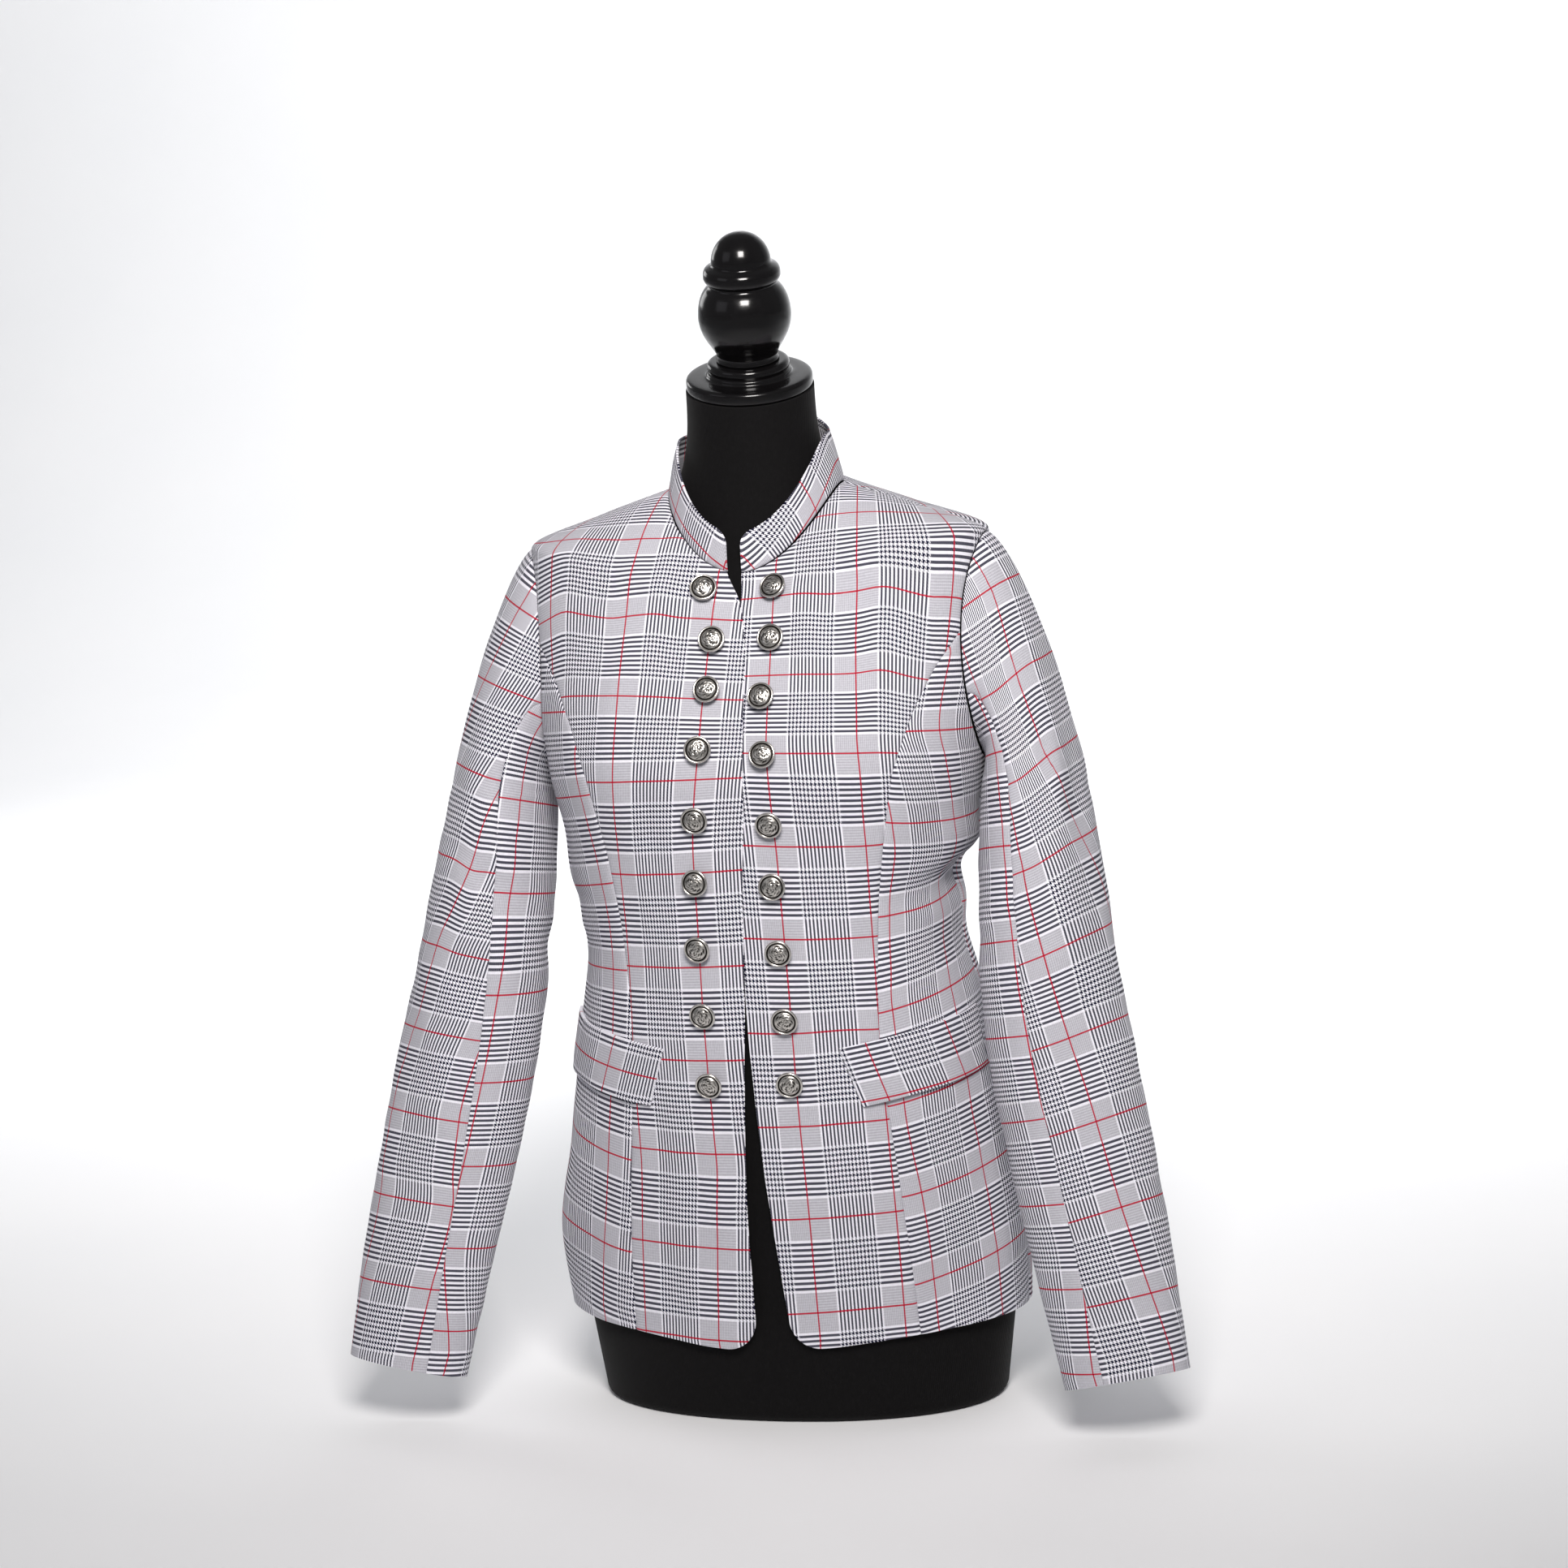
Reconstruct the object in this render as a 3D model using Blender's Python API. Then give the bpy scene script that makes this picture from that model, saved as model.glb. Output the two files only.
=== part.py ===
"""A fitted, hip-length blazer with a stand collar, worn by a limbless dress form.

The blazer faces -Y, up is +Z, and the wearer's left is +X. The origin is the middle of the
form's flat base. Lengths below are in millimetres and are turned to metres in the meshes.

The body of the blazer is one surface. A girth is a closed ring round the body, numbered by the
height where it crosses the centre front. An angle round it is 0 at the centre front, 90 at the
wearer's left side and 180 at the centre back. Every panel is a piece of that surface between two
seams, given a wall, and the form inside follows the same surface further in.
"""

import math

import bmesh
import bpy
import numpy as np

MM = 0.001

# Cloth and seams
WALL = 1.6
SEAM_HALF_GAP = 0.24
SEAM_WIDEST_RADIUS = 110.0
SLEEVE_SEAM_GAP = 0.34
FLAP_WALL = 2.2
FLAP_LIFT = 0.5
FRONT_EDGE_LIFT = 2.3
FRONT_EDGE_STRIP = 52.0
FRONT_EDGE_BLEND = 30.0

# Girths where the panels change
HEM_GIRTH = 62.0
UNDERARM_GIRTH = 511.0
SHOULDER_GIRTH = 640.0
NECK_GIRTH = 672.0
HEM_CORNER_RADIUS = 27.0
HEM_CORNER_TOP = 200.0
# Girths of the rows below the armhole, closer where the waist is folded
LOWER_GIRTHS = (HEM_GIRTH, 92, 130, 170, 210, 248, 284, 320, 354, 384, 404, 422, 440, 462, 486)
SHOULDER_SPACING = 6.4

# Armhole: how far its front and back lie from the side, in degrees round the body.
# A step goes round it, 0 at the shoulder, 90 in front and 180 at the underarm.
ARMHOLE_FRONT = 17.0
ARMHOLE_BACK = 15.0
ARMHOLE_STEP = 15.0
PRINCESS_STEP = 75.0
SLEEVE_FRONT_SEAM = 105.0
SLEEVE_BACK_SEAM = -105.0
SLEEVE_SEAM_DRIFT_RIGHT = 16.0
SLEEVE_SEAM_DRIFT_LEFT = 2.0

# Columns of each panel, as shares of its width from its front or side edge
FRONT_SHARES = (0.0, 0.05, 0.13, 0.25, 0.4, 0.56, 0.71, 0.84, 0.94, 1.0)
SIDE_FRONT_SHARES = (0.0, 0.25, 0.5, 0.75, 1.0)
BACK_SHARES = (0.0, 0.06, 0.16, 0.3, 0.46, 0.64, 0.82, 1.0)
SIDE_FRONT_TIP = 1.0
SIDE_FRONT_TIP_ANGLE = 0.22

# Girths of the body, from the hem up to the seam of the neck
RING_COLUMNS = (
    "front_z", "side_z", "back_z", "half_width", "front_depth", "back_depth", "side_y", "squareness",
)
BODY_RINGS = (
    (62, 76, 70, 188, 106, 116, 0, 2.10),
    (130, 138, 136, 189, 112, 121, 0, 2.15),
    (210, 214, 214, 181, 117, 117, 0, 2.20),
    (305, 306, 308, 166, 119, 100, 0, 2.25),
    (385, 386, 388, 154, 119, 90, 0, 2.30),
    (450, 452, 454, 162, 121, 94, 0, 2.40),
    (511, 516, 518, 175, 122, 102, 0, 2.50),
    (560, 574, 576, 181, 113, 108, 0, 2.50),
    (600, 634, 636, 184, 99, 108, 0, 2.40),
    (640, 692, 698, 184, 82, 98, 0, 2.20),
    (657, 716, 730, 126, 76, 76, 4, 2.10),
    (672, 734, 753, 70, 74, 54, 8, 2.05),
)

# Fullness over the bust that the princess seams are cut for
BUST_ANGLE = 37.0
BUST_GIRTH = 533.0
BUST_SPREAD = 52.0
BUST_HEIGHT = 7.0
BUST_MM_PER_DEGREE = 2.2

# Largest folds of the body: along is half the length and across half the width of each
FOLD_COLUMNS = ("angle", "girth", "turn", "along", "across", "height")
BODY_FOLDS = (
    (-38, 620, 78, 60, 15, 1.8),
    (-24, 610, 100, 55, 16, -1.6),
    (34, 615, 96, 60, 16, 1.8),
    (50, 600, 84, 50, 14, -1.4),
    (86, 453, -6, 60, 15, 4.5),
    (88, 423, 0, 66, 17, -14.0),
    (88, 380, 0, 60, 28, -5.0),
    (-92, 428, 0, 72, 36, 7.0),
    (120, 430, 10, 60, 18, 3.5),
    (-125, 440, -8, 60, 18, 3.5),
    (150, 395, 0, 50, 16, -3.0),
    (-155, 398, 0, 50, 16, -3.0),
    (-84, 118, 70, 74, 28, 6.0),
    (66, 150, 84, 80, 28, -3.0),
)

# Folds end between these girths, so that the seam of the neck stays smooth
FOLDS_FADE = (630.0, 660.0)
BODY_MM_PER_DEGREE = 2.6

# Front edges: how far each lies from the middle, towards the wearer's left
EDGE_COLUMNS = ("girth", "right_front", "left_front")
FRONT_EDGES = (
    (62, -10, 16),
    (150, -10, 10),
    (278, -5, 2),
    (340, -1, 0),
    (385, 1, 1),
    (430, 3, 1),
    (510, 9, 3),
    (600, 10, 3),
    (640, 6, 4),
    (672, -9, 3),
)

# Princess seams, from the hem to the armhole
PRINCESS_COLUMNS = ("girth", "angle")
PRINCESS_SEAM = (
    (62, 53.8),
    (200, 48.0),
    (305, 45.0),
    (385, 46.8),
    (450, 48.0),
    (511, 50.0),
    (545, 55.5),
    (573, 63.5),
    (592.2, 73.7),
)

# Pocket flaps, as girths at their front and side ends and angles round the body
FLAP_FRONT_ANGLE = 32.4
FLAP_BACK_ANGLE = 80.0
FLAP_SLANT_ANGLE = 6.3
FLAP_GIRTH_FRONT = 306.0
FLAP_GIRTH_BACK = 322.0
FLAP_HEIGHT = 47.0
FLAP_SPRING = 2.2

# Stand collar: the ring of its top edge, which leans in from the seam of the neck
COLLAR_FRONT_HEIGHT = 29.5
COLLAR_BACK_HEIGHT = 42.0
COLLAR_LEAN = 3.0
COLLAR_SIDE_LEAN = 8.0
COLLAR_SWELL = 1.2
COLLAR_SWELL_SPAN = 0.6
COLLAR_CORNER_RADIUS = 9.0
COLLAR_MM_PER_DEGREE = 1.25
COLLAR_END_SHARES = (0.02,)
COLLAR_SEAM_GAP = 0.35

# Buttons in two columns: girth, place across from the middle, and tip upwards in degrees
BUTTON_SEAT_GAP = 0.7
BUTTON_COLUMNS = ("right_girth", "right_x", "right_tip", "left_girth", "left_x", "left_tip")
BUTTONS = (
    (653, -26, -4, 651, 32, 0),
    (620, -16, 0, 618, 31, 0),
    (584, -18, 2, 578, 25, 4),
    (541, -25, -4, 536, 27, 4),
    (490, -29, -4, 485, 29, -10),
    (440, -32, 4, 436, 28, 0),
    (388, -34, -8, 384, 29, -8),
    (336, -33, -10, 331, 31, -10),
    (281, -32, -10, 281, 32, -10),
)
# Half outline of a button, from the shank up to the top of its dome: radius and height
BUTTON_PROFILE = ((3.0, 0.0), (3.2, 3.3), (9.8, 4.1), (10.6, 5.8), (6.0, 8.0), (0.0, 8.6))
BUTTON_SIDES = 12

# Sleeves: rings along the arm from below the armhole to the cuff
SLEEVE_COLUMNS = ("x_right", "x_left", "y", "z", "half_width", "half_depth")
SLEEVE_RINGS = (
    (219, 214.5, -14, 492, 41, 58),
    (228, 219, -28, 425, 49, 54),
    (239, 225, -46, 350, 54, 49),
    (253, 237, -64, 275, 57, 44),
    (268, 253, -84, 200, 56, 38),
    (283, 269, -104, 125, 53, 34),
    (297, 284, -121, 50, 49, 30),
)
CAP_SHARE = 0.26
CAP_RISE = 112.0
CAP_UNDERARM = 16.0
CAP_FALL = 95.0
CAP_LIFT = 0.8
CAP_OUTWARD = 0.55
SLEEVE_CENTRE = 60.0
SLEEVE_LENGTH = 640.0
SLEEVE_MM_PER_DEGREE = 0.9
SLEEVE_HALF_GAP_ANGLE = 0.26
CAP_ROWS = (0.0, 0.012, 0.035, 0.075, 0.12, 0.17, 0.215)
ARM_ROWS = 11
# Folds of the sleeves, in the columns of the body's folds: a step for the angle, a share for the girth
LEFT_SLEEVE_FOLDS = (
    (55, 0.30, 82, 130, 11, 2.6),
    (30, 0.34, 88, 110, 13, -2.2),
    (120, 0.42, 20, 34, 14, 2.5),
    (200, 0.45, 0, 45, 15, -3.0),
    (240, 0.50, 10, 45, 16, 3.0),
    (70, 0.62, 70, 80, 16, -2.0),
)
RIGHT_SLEEVE_FOLDS = (
    (108, 0.33, 60, 36, 12, 2.6),
    (112, 0.40, 40, 36, 12, -2.4),
    (110, 0.47, 30, 36, 13, 2.4),
    (210, 0.45, 0, 45, 15, -3.0),
    (250, 0.50, -10, 45, 16, 3.0),
    (40, 0.60, 80, 90, 18, -2.0),
)

# Dress form
FORM_BASE_HALF_WIDTH = 166.0
FORM_BASE_DEPTH = 97.0
FORM_BASE_ROUND = 8.0
FORM_SQUARENESS = 2.15
FORM_ANGLES = (0.0, 12.0, 24.0, 36.0, 48.0, 60.0, 71.0, 80.0, 86.0)
FORM_GIRTHS = (110, 170, 230, 284, 330, 384, 422, 462, 511)
FORM_NECK_SHARES = (0.08, 0.2, 0.36, 0.56, 0.78, 1.0)
# Clear space inside the cloth: less at the shoulders, least on the ridge that the cloth rests on
FORM_CLEARANCE = 4.5
FORM_SHOULDER_CLEARANCE = 3.2
FORM_SHOULDER_GIRTHS = (540.0, 600.0)
FORM_SEAT_CLEARANCE = 0.7
FORM_SEAT_ANGLE = 4.0
FORM_SEAT_END = (652.0, 662.0)
NECK_RADIUS = 50.5
NECK_TOP_Z = 811.0
NECK_Y = 5.0
NECK_TILT_FORWARD = 16.0
NECK_TILT_SIDE = 3.3
PLATE_GAP = 0.3
# Half outlines of the turned cap and of its knob: radius and height along the axis
DISC_PROFILE = (
    (0.0, 0.0), (47.0, 0.0), (49.5, 1.6), (49.8, 8.0), (48.0, 10.2), (34.0, 10.8), (33.4, 14.0),
    (31.6, 15.0), (32.4, 17.0), (31.8, 20.6), (29.0, 22.6), (0.0, 22.6),
)
FINIAL_PROFILE = (
    (0.0, 22.9), (25.0, 22.9), (24.4, 28.5), (29.0, 37.0), (34.2, 47.5), (36.4, 58.5), (35.4, 69.5),
    (31.0, 80.0), (27.6, 84.5), (30.2, 91.0), (29.0, 98.0), (24.0, 101.0), (22.6, 108.0), (17.0, 117.5),
    (8.0, 123.8), (0.0, 125.4),
)
TURNED_SIDES = 20

CLOTH = ("cloth", (0.42, 0.40, 0.44), 0.85, 0.0)
METAL = ("antique_silver", (0.55, 0.53, 0.50), 0.35, 1.0)
JERSEY = ("black_jersey", (0.012, 0.011, 0.012), 0.9, 0.0)
LACQUER = ("black_lacquer", (0.008, 0.008, 0.009), 0.12, 0.0)


def column(names, rows, name):
    """One named column of a table, as an array."""
    return np.array([row[names.index(name)] for row in rows], float)


def smooth(at, stations, values):
    """Read a table at any place, by cubic pieces that never swing past the rows beside them."""
    at = np.clip(np.asarray(at, float), stations[0], stations[-1])
    rises = np.diff(values) / np.diff(stations)
    before, after = rises[:-1], rises[1:]
    product = before * after
    inner = np.where(product > 0, 2 * product / np.where(product > 0, before + after, 1.0), 0.0)
    slopes = np.concatenate([rises[:1], inner, rises[-1:]])
    left = np.clip(np.searchsorted(stations, at, side="right") - 1, 0, len(stations) - 2)
    width = stations[left + 1] - stations[left]
    t = (at - stations[left]) / width
    start = values[left] * (1 + 2 * t) * (1 - t) ** 2 + slopes[left] * width * t * (1 - t) ** 2
    end = values[left + 1] * (3 - 2 * t) * t**2 + slopes[left + 1] * width * (t - 1) * t**2
    return start + end


def unit(vectors):
    return vectors / np.maximum(np.linalg.norm(vectors, axis=-1, keepdims=True), 1e-9)


def smoothstep(value, low, high):
    t = np.clip((value - low) / (high - low), 0.0, 1.0)
    return t * t * (3 - 2 * t)


def fold_height(around, up, folds, per_angle, per_girth):
    """Sum of soft ridges and troughs: each is a long bell, turned to its own direction."""
    total = np.zeros(np.broadcast(around, up).shape)
    for row in folds:
        fold = dict(zip(FOLD_COLUMNS, row))
        c = math.cos(math.radians(fold["turn"]))
        s = math.sin(math.radians(fold["turn"]))
        right = around - fold["angle"] * per_angle
        rise = up - fold["girth"] * per_girth
        a = (right * c + rise * s) / fold["along"]
        b = (rise * c - right * s) / fold["across"]
        total = total + fold["height"] * np.exp(-(a**2) - b**2)
    return total


# Body surface


def plain_body(girth, angle):
    """The body without bust and folds: a squarish ring at each girth, its height easing to the sides."""
    rings = {name: smooth(girth, BODY_GIRTHS, BODY_VALUES[name]) for name in RING_COLUMNS}
    s = np.sin(np.radians(angle))
    c = np.cos(np.radians(angle))
    depth = np.where(c > 0, rings["front_depth"], rings["back_depth"])
    middle_z = np.where(c > 0, rings["front_z"], rings["back_z"])
    power = rings["squareness"]
    reach = (np.abs(s / rings["half_width"]) ** power + np.abs(c / depth) ** power) ** (-1 / power)
    x = reach * s
    y = rings["side_y"] - reach * c
    z = rings["side_z"] + (middle_z - rings["side_z"]) * c**2
    return np.stack(np.broadcast_arrays(x, y, z), -1)


BODY_GIRTHS = column(RING_COLUMNS, BODY_RINGS, "front_z")
BODY_VALUES = {name: column(RING_COLUMNS, BODY_RINGS, name) for name in RING_COLUMNS}


def surface_normal(surface, first, second, first_step, second_step):
    """Outward normal of a surface of two numbers, by central differences."""
    du = surface(first + first_step, second) - surface(first - first_step, second)
    dv = surface(first, second + second_step) - surface(first, second - second_step)
    return unit(np.cross(dv, du))


def body_relief(girth, angle):
    """How far bust and folds stand out from the plain body."""
    bust = 0.0
    for side in (-1, 1):
        across = (angle - side * BUST_ANGLE) * BUST_MM_PER_DEGREE
        bust = bust + BUST_HEIGHT * np.exp(-(across**2 + (girth - BUST_GIRTH) ** 2) / BUST_SPREAD**2)
    folds = fold_height(angle * BODY_MM_PER_DEGREE, girth, BODY_FOLDS, BODY_MM_PER_DEGREE, 1.0)
    return bust + folds * (1 - smoothstep(girth, *FOLDS_FADE))


def body(girth, angle):
    """Outer face of the blazer's body in millimetres, before seams and front edges."""
    girth = np.asarray(girth, float)
    angle = np.asarray(angle, float)
    inner_girth = np.clip(girth, BODY_GIRTHS[0] + 1.0, BODY_GIRTHS[-1] - 1.0)
    normal = surface_normal(plain_body, inner_girth, angle, 1.0, 0.5)
    return plain_body(girth, angle) + normal * body_relief(girth, angle)[..., None]


def body_normal(girth, angle):
    inner_girth = np.clip(girth, BODY_GIRTHS[0] + 1.0, BODY_GIRTHS[-1] - 1.0)
    return surface_normal(body, inner_girth, angle, 1.0, 0.5)


def angle_at(girth, x):
    """Angle round the body near the centre front where a ring is x across."""
    depth = smooth(girth, BODY_GIRTHS, BODY_VALUES["front_depth"])
    return np.degrees(np.arctan2(x, depth))


def edge_x(girth, side):
    name = "right_front" if side < 0 else "left_front"
    girths = column(EDGE_COLUMNS, FRONT_EDGES, "girth")
    return smooth(girth, girths, column(EDGE_COLUMNS, FRONT_EDGES, name))


def princess_angle(girth):
    girths = column(PRINCESS_COLUMNS, PRINCESS_SEAM, "girth")
    return smooth(girth, girths, column(PRINCESS_COLUMNS, PRINCESS_SEAM, "angle"))


def armhole_girth(step):
    """Girth of a point of the armhole: step is 0 at the shoulder, 180 at the underarm."""
    share = (1 - np.cos(np.radians(step))) / 2
    return SHOULDER_GIRTH + (UNDERARM_GIRTH - SHOULDER_GIRTH) * share


def armhole_angle(girth, depth):
    share = np.clip((SHOULDER_GIRTH - girth) / (SHOULDER_GIRTH - UNDERARM_GIRTH), 0.0, 1.0)
    return 90 - depth * np.sin(np.pi * share) ** 0.5


def girth_rows(first, last, spacing):
    count = max(2, int(round((last - first) / spacing)) + 1)
    return np.linspace(first, last, count)


def armhole_rows():
    steps = np.arange(180.0, -0.1, -ARMHOLE_STEP)
    return armhole_girth(steps)


def shoulder_rows():
    return girth_rows(SHOULDER_GIRTH, NECK_GIRTH, SHOULDER_SPACING)[1:]


def lower_rows():
    return np.array(LOWER_GIRTHS, float)


# Meshes


def new_object(name, points, faces, material, smooth_shading=True):
    """A mesh object from points in millimetres, with its faces turned outwards."""
    mesh = bpy.data.meshes.new(name)
    points = np.asarray(points, float) * MM
    mesh.from_pydata(points.tolist(), [], faces)
    mesh.validate()
    work = bmesh.new()
    work.from_mesh(mesh)
    if work.calc_volume(signed=True) < 0:
        bmesh.ops.reverse_faces(work, faces=work.faces)
    work.to_mesh(mesh)
    work.free()
    if smooth_shading:
        mesh.shade_smooth()
        mesh.set_sharp_from_angle(angle=math.radians(40))
    mesh.materials.append(make_material(*material))
    piece = bpy.data.objects.new(name, mesh)
    bpy.context.scene.collection.objects.link(piece)
    return piece


def make_material(name, colour, roughness, metallic):
    material = bpy.data.materials.get(name)
    if material:
        return material
    material = bpy.data.materials.new(name)
    material.use_nodes = True
    shader = material.node_tree.nodes["Principled BSDF"]
    shader.inputs["Base Color"].default_value = (*colour, 1.0)
    shader.inputs["Roughness"].default_value = roughness
    shader.inputs["Metallic"].default_value = metallic
    return material


def wall(name, outer, inner, material):
    """A closed wall between two grids of points that have the same rows and columns."""
    rows, columns = outer.shape[:2]
    index = np.arange(rows * columns).reshape(rows, columns)
    behind = rows * columns
    faces = []
    for row in range(rows - 1):
        for col in range(columns - 1):
            a, b = index[row, col], index[row, col + 1]
            c, d = index[row + 1, col + 1], index[row + 1, col]
            faces += [(a, b, c), (a, c, d)]
            faces += [(c + behind, b + behind, a + behind), (d + behind, c + behind, a + behind)]
    rim = list(index[0, :]) + list(index[1:, -1]) + list(index[-1, -2::-1]) + list(index[-2:0:-1, 0])
    for a, b in zip(rim, rim[1:] + rim[:1]):
        faces += [(b, a, a + behind), (b, a + behind, b + behind)]
    points = np.concatenate([outer.reshape(-1, 3), inner.reshape(-1, 3)])
    return new_object(name, points, [tuple(int(i) for i in face) for face in faces], material)


def turned(name, profile, sides, material):
    """A turned piece about Z: a half outline from axis to axis, or one closed by a flat foot."""
    rings = [(r, z) for r, z in profile if r > 0]
    turn = np.radians(np.arange(sides) * 360 / sides)
    points = [(r * math.cos(t), r * math.sin(t), z) for r, z in rings for t in turn]
    faces = []
    for ring in range(len(rings) - 1):
        for side in range(sides):
            a = ring * sides + side
            b = ring * sides + (side + 1) % sides
            faces.append((a, b, b + sides, a + sides))
    foot = len(points)
    points.append((0.0, 0.0, profile[0][1]))
    points.append((0.0, 0.0, profile[-1][1]))
    last = (len(rings) - 1) * sides
    for side in range(sides):
        faces.append(((side + 1) % sides, side, foot))
        faces.append((last + side, last + (side + 1) % sides, foot + 1))
    return new_object(name, points, faces, material)


# Panels


def panel_grid(rows, low_angle, high_angle, share):
    """Girths and angles of a panel: each row runs from one seam to the other, column by column."""
    share = np.asarray(share)
    girth = np.repeat(rows[:, None], len(share), axis=1)
    angle = low_angle[:, None] * (1 - share) + high_angle[:, None] * share
    return girth, angle


def seam_step(girth):
    """Half the gap of a seam, as an angle round the body."""
    width = smooth(girth, BODY_GIRTHS, BODY_VALUES["half_width"])
    return np.degrees(SEAM_HALF_GAP / np.minimum(width, SEAM_WIDEST_RADIUS))


def outer_limit(rows, armhole_depth):
    """Outer edge of a panel by the side: its side seam, then the armhole, then the shoulder seam."""
    seam = 90 - seam_step(rows)
    hole = np.minimum(armhole_angle(rows, armhole_depth), seam)
    in_hole = (rows > UNDERARM_GIRTH - 0.5) & (rows < SHOULDER_GIRTH + 0.5)
    return np.where(in_hole, hole, seam)


def front_points(side, girth, angle):
    """Points of a centre front: the hem corner is rounded and the right front laps the left."""
    across = np.abs(reach_from_edge(side, girth, angle))
    corner = np.clip(HEM_CORNER_RADIUS - across, 0.0, None)
    rise = HEM_CORNER_RADIUS - np.sqrt(HEM_CORNER_RADIUS**2 - corner**2)
    full = HEM_CORNER_TOP - HEM_GIRTH
    raised = HEM_CORNER_TOP + (girth - HEM_CORNER_TOP) * (full - rise) / full
    girth = np.where(girth < HEM_CORNER_TOP, raised, girth)
    points = body(girth, side * angle)
    normal = body_normal(girth, side * angle)
    if side < 0:
        lift = 1 - smoothstep(across, FRONT_EDGE_STRIP, FRONT_EDGE_STRIP + FRONT_EDGE_BLEND)
        points = points + normal * (FRONT_EDGE_LIFT * lift)[..., None]
    return points, normal


def reach_from_edge(side, girth, angle):
    """Distance across the body from the front edge."""
    depth = smooth(girth, BODY_GIRTHS, BODY_VALUES["front_depth"])
    return np.tan(np.radians(np.clip(angle, -60, 60))) * depth - side * edge_x(girth, side)


def build_front(side, name):
    upper = armhole_rows()
    rows = np.concatenate([lower_rows(), upper, shoulder_rows()])
    princess_top = armhole_girth(PRINCESS_STEP)
    outer = np.where(
        rows < princess_top - 0.5,
        princess_angle(rows) - seam_step(rows),
        outer_limit(rows, ARMHOLE_FRONT),
    )
    inner = side * angle_at(rows, edge_x(rows, side))
    girth, angle = panel_grid(rows, inner, outer, FRONT_SHARES)
    points, normal = front_points(side, girth, angle)
    wall(name, points, points - normal * WALL, CLOTH)


def build_side_front(side, name):
    steps = np.arange(180.0, PRINCESS_STEP + 0.1, -ARMHOLE_STEP)
    tip = armhole_girth(PRINCESS_STEP) - SIDE_FRONT_TIP
    rows = np.concatenate([lower_rows(), armhole_girth(steps), [tip]])
    low = princess_angle(rows) + seam_step(rows)
    high = outer_limit(rows, ARMHOLE_FRONT)
    low = np.minimum(low, high - SIDE_FRONT_TIP_ANGLE)
    girth, angle = panel_grid(rows, low, high, SIDE_FRONT_SHARES)
    points = body(girth, side * angle)
    wall(name, points, points - body_normal(girth, side * angle) * WALL, CLOTH)


def build_back(side, name):
    upper = armhole_rows()
    rows = np.concatenate([lower_rows(), upper, shoulder_rows()])
    side_edge = 180 - outer_limit(rows, ARMHOLE_BACK)
    middle = 180 - seam_step(rows)
    girth, angle = panel_grid(rows, side_edge, middle, BACK_SHARES)
    points = body(girth, side * angle)
    wall(name, points, points - body_normal(girth, side * angle) * WALL, CLOTH)


def build_flap(side, name):
    """A flap lies on the fronts, made from their points moved out."""
    share_across = np.linspace(0.0, 1.0, 8)
    share_down = np.linspace(0.0, 1.0, 4)
    down, across = np.meshgrid(share_down, share_across, indexing="ij")
    start = FLAP_FRONT_ANGLE + FLAP_SLANT_ANGLE * down
    angle = start + (FLAP_BACK_ANGLE - start) * across
    top = FLAP_GIRTH_FRONT + (FLAP_GIRTH_BACK - FLAP_GIRTH_FRONT) * across
    girth = top - FLAP_HEIGHT * down
    points = body(girth, side * angle)
    normal = body_normal(girth, side * angle)
    spring = FLAP_SPRING * np.sin(np.pi * across) * down
    inner = points + normal * (FLAP_LIFT + spring)[..., None]
    wall(name, inner + normal * FLAP_WALL, inner, CLOTH)


def collar_point(side_angle, up):
    """Outer face of the stand collar: it rises from the seam of the neck and leans inwards."""
    angle = np.asarray(side_angle, float)
    base = body(np.full(angle.shape, NECK_GIRTH), angle)
    outward = base - np.array([0.0, NECK_Y, 0.0])
    outward[..., 2] = 0.0
    outward = unit(outward)
    lean = COLLAR_LEAN + COLLAR_SIDE_LEAN * np.sin(np.radians(angle)) ** 2
    rise = np.sin(np.radians(np.abs(angle) / 2))
    height = COLLAR_FRONT_HEIGHT + (COLLAR_BACK_HEIGHT - COLLAR_FRONT_HEIGHT) * rise
    swell = np.sin(np.pi * up * COLLAR_SWELL_SPAN) * COLLAR_SWELL
    point = base - outward * (lean * up - swell)[..., None]
    point[..., 2] += COLLAR_SEAM_GAP + height * up
    return point


def build_collar():
    """One band round the neck, with the columns of the panels that it meets."""
    step = float(seam_step(NECK_GIRTH))
    start = float(angle_at(NECK_GIRTH, edge_x(NECK_GIRTH, 1)))
    end = 360.0 + float(angle_at(NECK_GIRTH, edge_x(NECK_GIRTH, -1)))
    shares = np.array(sorted(FRONT_SHARES + COLLAR_END_SHARES))
    left = start + (90 - step - start) * shares
    right = end - (end - 270 - step) * shares
    back = 90 + step + (90 - 2 * step) * np.array(BACK_SHARES)
    angles = np.concatenate([left, back[:-1], [180.0], 360 - back[-2::-1], right[::-1]])
    up = np.linspace(0.0, 1.0, 4)
    up_grid, angle_grid = np.meshgrid(up, angles, indexing="ij")
    signed = np.where(angle_grid > 180, angle_grid - 360, angle_grid)
    from_end = np.minimum(angle_grid - start, end - angle_grid) * COLLAR_MM_PER_DEGREE
    corner = np.clip(COLLAR_CORNER_RADIUS - from_end, 0.0, None)
    drop = COLLAR_CORNER_RADIUS - np.sqrt(COLLAR_CORNER_RADIUS**2 - corner**2)
    up_grid = up_grid * (1 - drop / COLLAR_FRONT_HEIGHT)
    points = collar_point(signed, up_grid)
    along = collar_point(signed + 1.0, up_grid) - collar_point(signed - 1.0, up_grid)
    rise = collar_point(signed, up_grid + 0.02) - collar_point(signed, up_grid - 0.02)
    normal = unit(np.cross(along, rise))
    wall("collar", points, points - normal * WALL, CLOTH)


# Sleeves


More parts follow.
